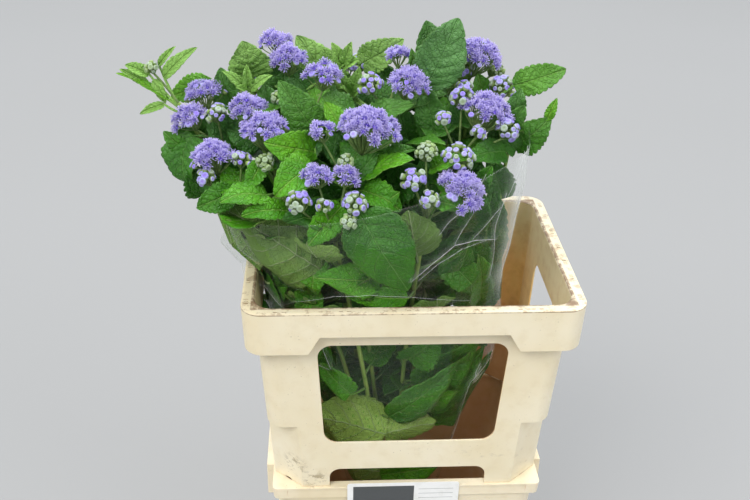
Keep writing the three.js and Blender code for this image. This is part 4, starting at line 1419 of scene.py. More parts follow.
# Main leaves: stem, height of the joint, tip, width and bow in millimetres, the way the upper side faces, and
# how fresh and light the green is, raised as painted light on leaves in the collar's shade and lowered as
# painted shade on leaves that fill dark gaps
FACINGS = {
    "upwards": (0, -0.2, 1), "forwards": (0, -1, 0.4), "backwards": (0, 1, 0.4),
    "turned": (0, 1, -0.3), "leftwards": (-0.7, -0.8, 0.4),
}
LEAVES = [
    ("i", 585, (-219, -90, 682), 116, -14, "turned", 0.3),
    ("h", 680, (-7, -146, 592), 77, 8, "forwards", 0.2),
    ("n", 600, (-12, -126, 690), 66, -12, "turned", 0.25),
    ("b", 712, (-168, -90, 756), 44, 12, "forwards", 1.0),
    ("b", 726, (-153, -18, 801), 46, 8, "forwards", 0.3),
    ("j", 742, (55, 40, 856), 60, 8, "forwards", 0.0),
    ("l", 716, (186, 30, 797), 36, 12, "forwards", 0.5),
    ("m", 700, (161, -20, 757), 40, 8, "forwards", 0.3),
    ("c", 712, (-262, -40, 684), 60, 14, "leftwards", 0.2),
    ("c", 711, (-285, 40, 760), 34, 8, "forwards", 0.8),
    ("a", 752, (-197, 42, 828), 54, 6, "forwards", 0.5),
    ("r", 722, (-6, 62, 824), 40, 6, "forwards", 0.5),
    ("r", 726, (-135, 84, 822), 56, 8, "forwards", 0.7),
    ("h", 690, (-4, -98, 738), 42, 12, "upwards", 0.85),
    ("j", 700, (32, -74, 746), 34, 10, "upwards", 0.4),
    ("f", 660, (-244, -104, 685), 34, 8, "forwards", 0.35),
    ("s", 696, (78, 84, 782), 54, 8, "backwards", 0.3),
    ("i", 352, (-94, -62, 350), 58, 0, "forwards", 0.75),
    ("q", 690, (-218, 120, 700), 66, 16, "upwards", 0.4),
    ("p", 765, (-334, -12, 808), 14, 6, "upwards", 1.0),
]

# Where the blade starts on the leaves whose stalk is long and bent
BLADE_FEET = {
    2: (-67, -134, 692), 4: (-113, -60, 731), 5: (-112, -16, 734), 6: (19, 16, 782), 7: (124, 30, 777),
    8: (126, -6, 712), 9: (-252, -20, 735), 10: (-238, 45, 776), 11: (-186, 58, 776), 12: (-58, 84, 784),
    16: (-203, -92, 698),
}

# Leaves that hang out over the film's upper edge, so that it doesn't hold them
OUTSIDE = (8, 9)
NOT_HELD = -60 * MM

# Leaves that lie right behind the film, and those that stand in full light, which take a paler green as
# painted light
AT_THE_FILM = (1, 2, 3)
AT_THE_FILM_GAP = 1.4 * MM
IN_FULL_LIGHT = (11, 12, 13)
MAIN_DETAIL = (10, 6, 14)
MAIN_WAVE = 0.07

leaf_green = leaf_skin("leaf_green", 0)
# Leaves in full light take a paler copy of the green, as painted light
painted_lit_green = leaf_skin("light_leaf_green", 0.46)
young_green = leaf_skin("young_leaf_green", 0.45)
random.seed(37)
for number, (name, joint_z, tip, width, bow, facing, tone) in enumerate(LEAVES, 1):
    tip = Vector(tip) * MM
    way = Vector(FACINGS[facing]).normalized()
    centre = stem_point(name, joint_z * MM)
    outwards = Vector((tip.x - centre.x, tip.y - centre.y, 0)).normalized()
    joint = centre + outwards * (stem_radius(joint_z * MM) + 0.6 * MM)
    if number in BLADE_FEET:
        foot = Vector(BLADE_FEET[number]) * MM
        middle = foot.lerp(tip, 0.5) + way * 2 * bow * MM
        bend = joint.lerp(foot, 0.5) + Vector((0, 0, 14 * MM))
        path, share = leaf_path(joint, bend, foot, middle, tip)
    else:
        middle = joint.lerp(tip, 0.5) + way * 2 * bow * MM
        path = bezier(joint, middle, tip, 50)
        share = PETIOLE_SHARE
    clearance = (3.4 + 0.8 * (number % 4)) * MM
    if number in AT_THE_FILM:
        clearance = AT_THE_FILM_GAP
    elif number in OUTSIDE:
        clearance = NOT_HELD
    made = blade(path, share, width * MM, way, tone, MAIN_DETAIL, clearance, MAIN_WAVE)
    finish = painted_lit_green if number in IN_FULL_LIGHT else leaf_green
    leaf = leaves_piece(f"ageratum_leaf_{number}", [made], finish)
    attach(leaf, "root")
    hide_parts(f"leaf_{number}")

# Smaller leaves among the heads: foot of the blade, its tip, width and bow in millimetres, the way its upper
# side faces, and how fresh and light the green is, raised as painted light on leaves in the collar's shade
# and lowered as painted shade on leaves that fill dark gaps
SMALL_LEAVES = [
    ((8, 30, 785), (-1, 20, 826), 18, 3, (0, -1, 0.3), 0.35),
    ((-70, 0, 752), (-105, 10, 772), 30, 6, (0, -0.5, 1), 0.25),
    ((-82, -24, 745), (-102, -6, 770), 24, 4, (0, -0.8, 0.7), 0.9),
    ((-116, -84, 727), (-157, -116, 703), 44, 8, (-0.1, -0.9, 0.6), 0.85),
    ((-171, -82, 728), (-188, -102, 705), 24, 5, (0, -0.9, 0.4), 0.7),
    ((-165, -104, 700), (-216, -124, 700), 36, 9, (-0.2, -0.6, 1), 0.6),
    ((-144, -112, 684), (-193, -132, 688), 28, 8, (0, -0.7, 0.8), 0.75),
    ((-104, -108, 680), (-153, -136, 676), 38, 7, (0, -0.9, 0.6), 0.15),
    ((-84, -112, 690), (-124, -138, 652), 36, 6, (0.1, -1, 0.5), 0.85),
    ((-40, -104, 588), (-114, -128, 606), 44, 6, (0, -1, 0.5), 0.95),
    ((-112, -88, 618), (-120, -118, 572), 36, 5, (-0.2, -1, 0.2), 0.6),
    ((46, -60, 545), (62, -100, 632), 44, 6, (0.1, -1, 0.1), 0.15),
    ((92, -40, 520), (78, -78, 606), 44, 6, (0.3, -1, 0.1), 0.45),
    ((32, 0, 718), (16, 16, 784), 42, 6, (-0.2, -1, 0.3), 0.15),
    ((-58, -6, 745), (0, -22, 774), 34, 7, (0, -0.7, 0.8), 0.3),
    ((-44, -56, 716), (-2, -76, 741), 26, 6, (0, -0.6, 0.9), 0.35),
    ((-74, -84, 704), (-44, -68, 733), 28, 5, (0, -0.9, 0.5), 0.15),
    ((-56, -98, 668), (-20, -112, 706), 30, 6, (-0.2, -0.9, 0.5), 0.55),
    ((16, -76, 716), (55, -96, 738), 26, 6, (0, -0.6, 0.9), 0.65),
    ((110, -26, 716), (56, -62, 722), 34, 8, (0, -0.8, 0.7), 0.2),
    ((22, -112, 694), (52, -137, 690), 28, 6, (0, -0.7, 0.8), 0.5),
    ((72, -68, 694), (86, -76, 720), 24, 4, (0, -1, 0.4), 0.35),
    ((114, -6, 742), (130, -16, 770), 26, 5, (0.2, -1, 0.4), 0.25),
    ((157, -20, 753), (166, -20, 780), 13, 4, (-0.3, -0.9, 0.2), 0.95),
    ((-29, -84, 343), (42, -78, 353), 50, 5, (0.1, 1, -0.2), 0.85),
    ((34, -50, 360), (100, -70, 418), 54, 5, (0.2, -1, 0.2), 0.1),
    ((10, -70, 410), (96, -76, 482), 60, 6, (0.3, -1, 0.2), 0.3),
    ((52, -40, 330), (72, -66, 384), 50, 5, (0.2, -1, 0.1), 0.05),
    ((-60, -96, 700), (-18, -116, 684), 34, 8, (0, -0.7, 0.8), 0.7),
    ((-214, -60, 700), (-244, -84, 706), 30, 7, (-0.2, -0.7, 0.8), 0.4),
    ((-196, 30, 742), (-236, 52, 762), 34, 8, (0, -0.5, 1), 0.5),
    ((-140, -40, 730), (-178, -30, 744), 34, 8, (0, -0.6, 0.9), 0.3),
    ((40, -70, 600), (82, -104, 566), 44, 8, (0.2, -1, 0.1), 0.3),
    ((-150, -60, 560), (-176, -96, 600), 44, 6, (-0.3, -1, 0.2), 0.35),
    ((-80, -80, 560), (-40, -118, 604), 48, 6, (0, -1, 0.1), 0.45),
    ((-22, -78, 366), (66, -92, 462), 54, 6, (0.3, -1, 0.2), 0.25),
    ((40, -50, 410), (84, -86, 468), 54, 6, (0.4, -1, 0.1), 0.3),
    ((-104, -60, 470), (-134, -76, 402), 40, 5, (-0.3, -1, 0.2), 0.35),
    ((-130, -50, 520), (-176, -62, 566), 54, 6, (-0.6, -1, 0.3), 0.2),
    ((-136, -30, 490), (-172, -50, 536), 50, 6, (-0.7, -1, 0.1), 0.1),
    ((-110, -80, 560), (-158, -92, 520), 40, 6, (-0.5, -1, 0.2), 0.6),
    ((-120, 30, 500), (-174, 20, 540), 38, 6, (-0.6, -1, 0.3), 0.05),
    ((-120, 60, 735), (-66, 84, 768), 52, 6, (0, -1, 0.6), 0.1),
    ((-140, -44, 480), (-174, -58, 524), 56, 6, (-0.6, -1, 0.1), 0.15),
    ((-146, 0, 480), (-178, -6, 530), 40, 6, (-0.8, -1, 0.2), 0.05),
    ((-40, 40, 735), (10, 52, 768), 56, 6, (0, -1, 0.8), 0.1),
    ((-90, 10, 720), (-116, 16, 752), 50, 6, (0, -1, 0.8), 0.15),
    ((-150, -30, 690), (-116, -44, 716), 50, 6, (0, -1, 0.8), 0.1),
    ((-20, -50, 680), (14, -64, 708), 50, 6, (0, -1, 0.8), 0.1),
    ((30, 60, 740), (-14, 72, 786), 56, 6, (0, -1, 0.8), 0.05),
    ((0, -70, 452), (36, -96, 506), 48, 5, (0, -1, 0.1), 0.5),
    ((60, -40, 460), (110, -66, 500), 48, 6, (0.6, -0.8, 0.1), 0.35),
    ((-100, -50, 400), (-140, -84, 436), 46, 6, (-0.4, -1, 0.1), 0.2),
    ((10, -60, 380), (66, -84, 410), 46, 6, (0.3, -1, 0.1), 0.55),
    ((-10, -60, 500), (50, -110, 540), 54, 6, (0.1, -1, 0.1), 0.25),
    ((-90, -60, 500), (-60, -112, 556), 56, 6, (-0.1, -1, 0.1), 0.35),
    ((-175, -10, 723), (-216, -10, 740), 42, 5, (0, -1, 0.5), 0.05),
    ((-110, 60, 751), (-149, 60, 786), 46, 5, (0, -1, 0.5), 0.0),
    ((77, 30, 691), (51, 30, 759), 46, 5, (0, -1, 0.4), 0.05),
    ((-67, -30, 705), (-102, -10, 727), 42, 5, (0, -1, 0.6), 0.05),
    ((-43, 60, 730), (-80, 70, 763), 46, 5, (0, -1, 0.6), 0.05),
    ((-186, -50, 693), (-219, -50, 710), 42, 5, (0, -1, 0.6), 0.1),
    ((-7, -108, 566), (-80, -114, 575), 30, 4, (0, -1, 0.3), 0.85),
    ((-158, -50, 574), (-160, -72, 538), 28, 3, (-0.3, -1, 0.2), 0.55),
    ((-73, -86, 410), (-111, -84, 458), 38, 4, (0, -1, 0.3), 0.7),
    ((-200, 0, 712), (-240, 4, 752), 46, 5, (0, -1, 0.6), 0.05),
    ((-206, -40, 690), (-246, -36, 716), 40, 5, (0, -1, 0.5), 0.15),
    ((20, -40, 540), (64, -70, 566), 44, 5, (0, -1, 0.3), 0.1),
    ((10, -20, 600), (40, -40, 690), 60, 5, (0, -1, 0.2), 0.05),
    ((-160, -56, 654), (-176, -56, 710), 46, 5, (0, -1, 0.5), 0.05),
    ((-80, -50, 648), (-99, -50, 704), 46, 5, (0, -1, 0.5), 0.05),
    ((-33, -40, 661), (-52, -40, 716), 46, 5, (0, -1, 0.5), 0.1),
    ((27, -56, 662), (6, -56, 718), 48, 5, (0, -1, 0.5), 0.05),
    ((2, 10, 706), (-19, 10, 760), 46, 5, (0, -1, 0.5), 0.1),
    ((7, -12, 673), (-14, -12, 730), 46, 5, (0, -1, 0.5), 0.05),
    ((-15, 76, 741), (-36, 74, 792), 44, 5, (0, -1, 0.5), 0.1),
    ((112, -20, 652), (92, -20, 706), 40, 5, (0, -1, 0.5), 0.1),
    ((-65, -20, 688), (-84, -20, 742), 44, 5, (0, -1, 0.5), 0.05),
    ((-99, -50, 666), (-117, -50, 722), 44, 5, (0, -1, 0.5), 0.1),
    ((38, -44, 568), (80, -48, 622), 54, 5, (0, -1, 0.3), 0.1),
    ((-154, 60, 754), (-164, 60, 799), 42, 5, (0, -1, 0.5), 0.1),
    ((-214, 30, 755), (-223, 30, 800), 34, 5, (0, -1, 0.5), 0.2),
    ((-246, -40, 668), (-254, -40, 712), 34, 5, (0, -1, 0.5), 0.1),
    ((98, 60, 738), (85, 60, 782), 36, 5, (0, -1, 0.5), 0.5),
    ((108, 10, 703), (100, 10, 742), 34, 5, (0, -1, 0.5), 0.1),
    ((-249, 0, 721), (-244, 0, 754), 30, 5, (0, -1, 0.5), 0.1),
    ((126, -10, 711), (105, -10, 727), 24, 4, (0, -1, 0.5), 0.1),
    ((-167, 30, 747), (-173, 30, 779), 34, 5, (0, -1, 0.5), 0.1),
    ((29, 44, 797), (17, 44, 852), 44, 5, (0, -1, 0.5), 0.05),
    ((122, 10, 744), (129, 10, 781), 26, 4, (0, -1, 0.5), 0.1),
    ((-263, -20, 715), (-287, -20, 741), 22, 4, (0, -1, 0.5), 0.3),
]

# Leaves against the film, with how far inside its outline each one stays. A few push it out.
PRESSED_LEAVES = [
    ((81, -30, 501), (74, -60, 622), 56, 5, (0.2, -1, 0.1), 0.3, 1.6),
    ((103, -10, 491), (102, -30, 605), 46, 5, (0.4, -1, 0.1), 0.15, 1.6),
    ((49, -50, 330), (111, -50, 446), 60, 5, (0.3, -1, 0.1), 0.15, 1.6),
    ((20, -60, 362), (98, -70, 470), 56, 5, (0.3, -1, 0.2), 0.2, 1.6),
    ((-130, -12, 500), (-186, -14, 556), 60, 4, (-0.2, -1, 0.1), 0.1, 1.6),
    ((-130, -12, 540), (-186, -16, 566), 48, 4, (-0.2, -1, 0.1), 0.2, 1.6),
    ((-125, -5, 455), (-184, -8, 512), 58, 4, (-0.2, -1, 0.1), 0.1, -5),
    ((-128, -30, 516), (-186, -34, 535), 62, 4, (-0.2, -1, 0.1), 0.15, 0.5),
    ((-120, -20, 500), (-190, -26, 508), 44, 3, (-0.3, -1, 0.1), 0.1, 1.6),
    # The leaves low in the window and the arch take a high tone, as painted light in the collar's shade
    ((-26, -84, 343), (-132, -78, 370), 78, 6, (0, 1, -0.3), 0.9, -14),
    ((-51, -66, 318), (-130, -52, 334), 60, 4, (0, 1, -0.3), 0.8, -16),
    ((-10, -44, 238), (-118, -44, 258), 56, 4, (0, 1, -0.3), 0.8, 1.6),
    ((-30, -44, 238), (66, -44, 252), 46, 4, (0, -1, 0.3), 0.7, 1.6),
    ((-204, -62, 568), (-227, -42, 664), 78, 4, (0.3, 1, -0.3), 0.35, -3.5),
    ((-208, -32, 572), (-232, -22, 652), 52, 4, (0.4, 1, -0.3), 0.3, -3.0),
    ((98, -30, 569), (101, -24, 668), 38, 4, (0.4, -1, 0.1), 0.05, 1.6),
    ((56, -52, 586), (88, -46, 636), 46, 4, (0.1, 1, -0.3), 0.1, 1.6),
    ((76, -52, 566), (82, -50, 620), 40, 4, (0.2, -1, 0.1), 0.1, 3.0),
    ((66, -60, 634), (82, -60, 678), 40, 5, (0, -1, 0.3), 0.1, 5.0),
    ((88, -40, 626), (96, -40, 668), 34, 5, (0, -1, 0.3), 0.15, 4.0),
    ((-164, -52, 500), (-184, -54, 588), 46, 4, (-0.5, -1, 0.2), 0.15, 1.0),
    ((-109, -10, 688), (-104, -10, 726), 32, 4, (0, -1, 0.5), 0.1, 6.0),
    ((66, -50, 696), (76, -50, 716), 34, 4, (0, -1, 0.5), 0.1, 6.0),
    ((-45, 20, 688), (-36, 20, 712), 34, 4, (0, -1, 0.5), 0.1, 6.0),
    ((-270, 10, 716), (-261, 10, 738), 24, 4, (0, -1, 0.5), 0.15, 6.0),
]

SMALL_DETAIL = (8, 4, 8)
PRESSED_DETAIL = (9, 5, 10)
FIRST_PIECE = 40
JOINT_BELOW_FOOT = 12 * MM
JOINT_BELOW_FORK = 4 * MM
LOWEST_JOINT = 60 * MM


def nearest_joint(place):
    """The point on the nearest stem, a little below a place, where a leaf's stalk may start."""
    best = None
    for name in names:
        z = min(place.z - JOINT_BELOW_FOOT, fork(name).z - JOINT_BELOW_FORK)
        if z < LOWEST_JOINT:
            continue
        point = stem_point(name, z)
        distance = (point - place).length
        if best is None or distance < best[0]:
            best = (distance, point, z)
    out = Vector((place.x - best[1].x, place.y - best[1].y, 0))
    out = out.normalized() if out.length > 1e-6 else Vector((0, -1, 0))
    return best[1] + out * stem_radius(best[2]) * 0.7


def free_leaf(row, detail, clearance):
    """A leaf from a row of its table, with a stalk that runs from the nearest stem to its blade."""
    foot, tip, width, bow, facing, tone = row
    foot = Vector(foot) * MM
    tip = Vector(tip) * MM
    joint = nearest_joint(foot)
    bend = joint.lerp(foot, 0.6) - Vector((0, 0, 3 * MM))
    middle = foot.lerp(tip, 0.5) + Vector(facing).normalized() * 2 * (bow * MM)
    path, share = leaf_path(joint, bend, foot, middle, tip)
    wave = random.uniform(0.04, 0.11)
    fold = random.choice((0.0, 0.1, 0.25, 0.45))
    return blade(path, share, width * MM, facing, tone, detail, clearance, wave, fold)


small = [free_leaf(row, SMALL_DETAIL, random.uniform(3.4, 9) * MM) for row in SMALL_LEAVES]
small += [free_leaf(row, PRESSED_DETAIL, gap * MM) for *row, gap in PRESSED_LEAVES]
for number, group in enumerate((small[:FIRST_PIECE], small[FIRST_PIECE:]), 1):
    leaf = leaves_piece(f"small_leaves_{number}", group, leaf_green)
    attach(leaf, "root")

# Leaves in pairs up every stem, each pair at right angles to the one below it, all under the flowers
CANOPY_FRONT_Y = -130 * MM
CANOPY_FRONT_Z = 690 * MM
CANOPY_SLOPE = 0.42
STEM_LEAF_DETAIL = (7, 4, 6)
STEM_LEAF_STALK = 14 * MM
STEM_LEAF_LOWEST = 316 * MM
STEM_LEAF_BACK = 138 * MM

# Where stems are bare: low at the front left, higher up on two stems at the front right, and on the shoot
BARE_FOOT_TOP = 500 * MM
OPEN_STEMS = ("m", "n")
OPEN_SPAN = (520 * MM, 650 * MM)
SHOOT_STEM = "p"
SHOOT_LEAVES_END = 640 * MM


def canopy(y):
    """The height of the lowest flowers at a depth y in the bunch."""
    return CANOPY_FRONT_Z + CANOPY_SLOPE * (y - CANOPY_FRONT_Y)


stem_leaves = []
for name in names:
    top = fork(name).z
    turn = random.uniform(0, math.pi)
    z = STEM_LEAF_LOWEST + random.uniform(0, 30) * MM
    while z < top - 10 * MM:
        centre = stem_point(name, z)
        for half_turn in (0, math.pi):
            angle = turn + half_turn + random.uniform(-0.35, 0.35)
            out = Vector((math.cos(angle), math.sin(angle), 0))
            bare_foot = z < BARE_FOOT_TOP and centre.x < 0 and out.y < 0.3
            open_stem = name in OPEN_STEMS and OPEN_SPAN[0] < z < OPEN_SPAN[1] and out.y < 0.3
            if bare_foot or open_stem or (name == SHOOT_STEM and z > SHOOT_LEAVES_END):
                continue
            length = random.uniform(58, 88) * MM
            flat_tip = centre + out * (length + STEM_LEAF_STALK)
            room = max(-0.5, (canopy(flat_tip.y) - centre.z) / length)
            lift = min(random.uniform(0.05, 0.75), room)
            tip = centre + (out + Vector((0, 0, lift))).normalized() * (length + STEM_LEAF_STALK)
            tip.y = min(tip.y, STEM_LEAF_BACK)
            foot = centre + (out + Vector((0, 0, min(lift + 0.5, 0.6)))).normalized() * 15 * MM
            facing = Vector((0, 0, 1)) + out * random.uniform(0.0, 0.5)
            joint = centre + out * stem_radius(z) * 0.8
            middle = foot.lerp(tip, 0.5) + Vector((0, 0, 1)) * random.uniform(3, 12) * MM
            path, share = leaf_path(joint, joint.lerp(foot, 0.5), foot, middle, tip, 8, 30)
            width = length * random.uniform(0.68, 0.86)
            tone = random.uniform(0.0, 0.7)
            clearance = random.uniform(4, 13) * MM
            wave = random.uniform(0.04, 0.1)
            fold = random.uniform(-0.1, 0.45)
            row = (path, share, width, facing, tone, STEM_LEAF_DETAIL, clearance, wave, fold)
            stem_leaves.append(blade(*row))
        turn += math.pi / 2
        z += random.uniform(40, 58) * MM
batch = math.ceil(len(stem_leaves) / 4)
for number in range(4):
    group = stem_leaves[number * batch:(number + 1) * batch]
    leaf = leaves_piece(f"stem_leaves_{number + 1}", group, leaf_green)
    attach(leaf, "root")

# Young shoots, most of them at the left: narrow, pale leaves round green buds
SHOOT_DETAIL = (7, 4, 8)
SHOOT_GAP = 3.4 * MM
SHOOT_LEAVES = [
    ((-189, 29, 773), (-162, 20, 794), 14, 5, (0, -0.8, 0.8), 0.95),
    ((-193, 30, 773), (-220, 20, 799), 15, 5, (0, -0.8, 0.8), 0.95),
    ((-191, 31, 775), (-192, 30, 804), 13, 4, (0, -0.9, 0.4), 0.9),
    ((-192, 28, 770), (-205, 16, 780), 12, 4, (0, -0.7, 0.8), 1.0),
    ((-69, 42, 763), (-60, 30, 800), 20, 4, (0, -0.9, 0.4), 0.9),
    ((-72, 43, 762), (-92, 34, 798), 20, 4, (0, -0.9, 0.4), 0.85),
    ((-68, 40, 759), (-48, 26, 782), 20, 5, (0, -0.6, 0.9), 0.95),
    ((-71, 40, 758), (-84, 20, 778), 18, 5, (0, -0.6, 0.9), 0.9),
    ((-302, -5, 792), (-331, -8, 811), 12, 3, (0, -0.8, 0.7), 1.0),
    ((-283, -5, 800), (-243, -8, 836), 17, 5, (0, -0.8, 0.7), 0.9),
    ((-288, 0, 812), (-268, 2, 834), 9, 3, (0, -0.8, 0.7), 0.95),
    ((-294, -5, 798), (-283, -8, 770), 13, 3, (0, -0.9, 0.5), 1.0),
    ((-285, -8, 769), (-314, -8, 757), 11, 3, (0, -0.8, 0.6), 1.0),
    ((-299, -6, 804), (-325, -6, 815), 15, 3, (0, -0.8, 0.6), 1.0),
    ((-80, 60, 793), (-93, 56, 822), 17, 4, (0, -0.8, 0.6), 1.0),
    ((-78, 59, 794), (-69, 52, 824), 16, 4, (0, -0.8, 0.6), 0.9),
    ((-77, 59, 790), (-60, 50, 802), 20, 4, (0, -0.7, 0.8), 0.95),
    ((-81, 60, 789), (-95, 50, 800), 20, 4, (0, -0.7, 0.8), 0.9),
]
shoot = [free_leaf(row, SHOOT_DETAIL, SHOOT_GAP) for row in SHOOT_LEAVES]
leaf = leaves_piece("shoot_leaves", shoot, young_green)
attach(leaf, "root")

# ----------------------------------------------------------------------
# The film sleeve: clear polypropylene, made as a flat tapered bag with open ends, pulled up over the bunch
# from below. It is gathered by the bucket and the collar, and creased where it has been folded.
# ----------------------------------------------------------------------
FILM_THICKNESS = 0.3 * MM
PLEAT_DEPTH = 3.2 * MM
CRINKLE_DEPTH = 1.3 * MM
# How white the film's upper edge is painted: a painted highlight
MOUTH_HIGHLIGHT = 0.03
FOLD_ROUND = 165 * MM
FOLD_STEP = 3 * MM
FOLD_LIFT = 0.3 * MM

# The film's grid, which is finer at the front and towards its upper edge
FILM_COLUMNS = 224
FILM_ROWS = 112
FRONT_COLUMNS = 0.42
UPPER_ROWS = 0.72

# Folds pressed into the film: points as turn in degrees and height in millimetres, the fold's half width,
# how much it whitens the film, partly real whitening and partly a painted glint, how far it stands out, and
# the half width of its sharp edge, in millimetres
FOLDS = [
    ([(-77, 607), (-69, 629), (-60, 650), (-50, 649), (-36, 637)], 3.0, 0.06, 3.0, 0.42),
    ([(-74, 606), (-66, 627), (-56, 641), (-44, 643)], 2.0, 0.04, 1.0, 0.28),
    ([(-67, 667), (-64, 683), (-57, 700), (-50, 732)], 2.5, 0.05, 2.0, 0.3),
    ([(-60, 650), (-58, 666), (-54, 689)], 2.5, 0.05, 2.0, 0.28),
    ([(-145, 539), (-136, 554), (-126, 565), (-111, 582), (-95, 589), (-79, 583), (-66, 573), (-49, 558)],
     2.5, 0.02, 2.4, 0.18),
    ([(-163, 558), (-145, 539)], 3.0, 0.1, 5.0, 0.5),
    ([(-176, 596), (-172, 570), (-164, 545)], 10.0, 0.1, 24.0, 0.3),
    ([(-128, 480), (-122, 497), (-118, 463)], 2.5, 0.06, 2.0, 0.4),
    ([(-140, 478), (-131, 470), (-119, 462)], 2.5, 0.06, 2.0, 0.4),
    ([(-24, 745), (-26, 719), (-25, 690), (-22, 640), (-22, 600), (-22, 572)], 20.0, 0.4, 5.0, 0.3),
    ([(-37, 446), (-43, 424), (-40, 432), (-36, 440)], 2.0, 0.12, 1.5, 0.9),
    ([(-29, 445), (-45, 423), (-42, 386), (-35, 323), (-34, 257)], 3.0, 0.08, 4.0, 0.3),
    ([(-38, 700), (-40, 660), (-37, 620), (-36, 580)], 2.5, 0.12, 3.0, 0.35),
    ([(-27, 741), (-36, 690), (-52, 650)], 2.5, 0.05, 2.0, 0.3),
]

film, start = new_finish("clear_film")
place = start.place()
crease = start.attribute("crease")
haze = place.grain(9, 3)
crinkle = place.grain(38, 4, 0.6, stretch=(1.0, 1.0, 0.35))
relief = crinkle.bump(0.002, 0.3)
edge_on = start.node("ShaderNodeLayerWeight", {}, {"Blend": 0.35, "Normal": relief}, out="Facing")
clear = start.node("ShaderNodeBsdfTransparent", {}, {"Color": (0.985, 0.99, 0.985, 1.0)})
gloss = start.node("ShaderNodeBsdfGlossy", {}, {"Color": (1, 1, 1, 1), "Roughness": 0.07, "Normal": relief})
milk = start.node("ShaderNodeBsdfDiffuse", {}, {"Color": (0.86, 0.88, 0.87, 1.0)})
grazing = edge_on ** 4
shine = (0.012 + 0.35 * grazing).least(0.8)
body = clear.node("ShaderNodeMixShader", {}, {0: shine, 1: clear, 2: gloss})
# Milky white along the folds and the upper edge, partly the creased film's own whitening and partly painted
# glints, with a faint haze and a little more edge-on
haze_and_glints = (0.002 + 0.004 * haze.between(0.45, 0.75) + 0.68 * crease + 0.03 * grazing).least(0.8)
body.node("ShaderNodeMixShader", {}, {0: haze_and_glints, 1: body, 2: milk}).shown()


def fold_marks(turns, heights):
    """How much the folds turn the film white, partly real whitening and partly painted glints, and how far
    they stand out, at many places on it.
    """
    x = np.degrees(turns) % -360 * math.pi / 180 * FOLD_ROUND
    whitening_and_glint = np.zeros_like(x)
    ridge = np.zeros_like(x)
    for line, half_width, white, height, _ in FOLDS:
        ends = np.array([(math.radians(turn) * FOLD_ROUND, z * MM) for turn, z in line])
        nearest = np.full_like(x, np.inf)
        for first, second in zip(ends[:-1], ends[1:]):
            step = second - first
            t = ((x - first[0]) * step[0] + (heights - first[1]) * step[1]) / (step @ step)
            t = np.clip(t, 0, 1)
            apart = np.hypot(x - first[0] - t * step[0], heights - first[1] - t * step[1])
            nearest = np.minimum(nearest, apart)
        near = nearest / (half_width * MM)
        whitening_and_glint = np.maximum(whitening_and_glint, white * np.exp(-near ** 2))
        ridge = np.maximum(ridge, height * MM * np.exp(-(near / 1.5) ** 2))
    return whitening_and_glint, ridge


def sleeve_place(turn, z, offset):
    """A point of the sleeve, before its folds, at a turn round it and a height."""
    centre_x, centre_y, half_x, half_y = sleeve_outline(z)
    pleats = noise.noise(Vector((math.cos(turn) * 2.2, math.sin(turn) * 2.2, z * 3.0)))
    fine = noise.noise(Vector((math.cos(turn) * 9, math.sin(turn) * 9, z * 9 + 4.0)))
    dent = (0.5 + 0.5 * pleats) * PLEAT_DEPTH + (0.5 + 0.5 * fine) * CRINKLE_DEPTH
    proud = offset - dent
    x = centre_x + (half_x + proud) * math.cos(turn)
    y = centre_y + (half_y + proud) * math.sin(turn)
    return x, y, z


turns = np.arange(FILM_COLUMNS) * 2 * math.pi / FILM_COLUMNS
turns = turns - FRONT_COLUMNS * np.cos(turns)
levels = (np.arange(FILM_ROWS + 1) / FILM_ROWS) ** UPPER_ROWS
tops = SLEEVE_TOP_Z + SLEEVE_TOP_TILT * np.cos(turns)
heights = SLEEVE_RINGS[0, 0] + (tops[None, :] - SLEEVE_RINGS[0, 0]) * levels[:, None]
turns = np.broadcast_to(turns, heights.shape)
whitening_and_glint, ridge = fold_marks(turns, heights)
# A faint white line along the upper edge: a painted highlight
whitening_and_glint[-1] = np.maximum(whitening_and_glint[-1], MOUTH_HIGHLIGHT)
places = []
for offset in (0, -FILM_THICKNESS):
    for turn, z, height in zip(turns.ravel(), heights.ravel(), ridge.ravel()):
        places.append(sleeve_place(turn, z, offset + height))
faces = []
layer_size = (FILM_ROWS + 1) * FILM_COLUMNS
for row in range(FILM_ROWS):
    for column in range(FILM_COLUMNS):
        after = (column + 1) % FILM_COLUMNS
        low = row * FILM_COLUMNS
        high = low + FILM_COLUMNS
        quad = (low + column, low + after, high + after, high + column)
        faces.append(quad)
        faces.append(tuple(corner + layer_size for corner in reversed(quad)))
for column in range(FILM_COLUMNS):
    after = (column + 1) % FILM_COLUMNS
    top = FILM_ROWS * FILM_COLUMNS
    faces.append((top + column, top + after, layer_size + top + after, layer_size + top + column))
    faces.append((layer_size + column, layer_size + after, after, column))
whitening_and_glint = list(np.tile(whitening_and_glint.ravel(), 2))
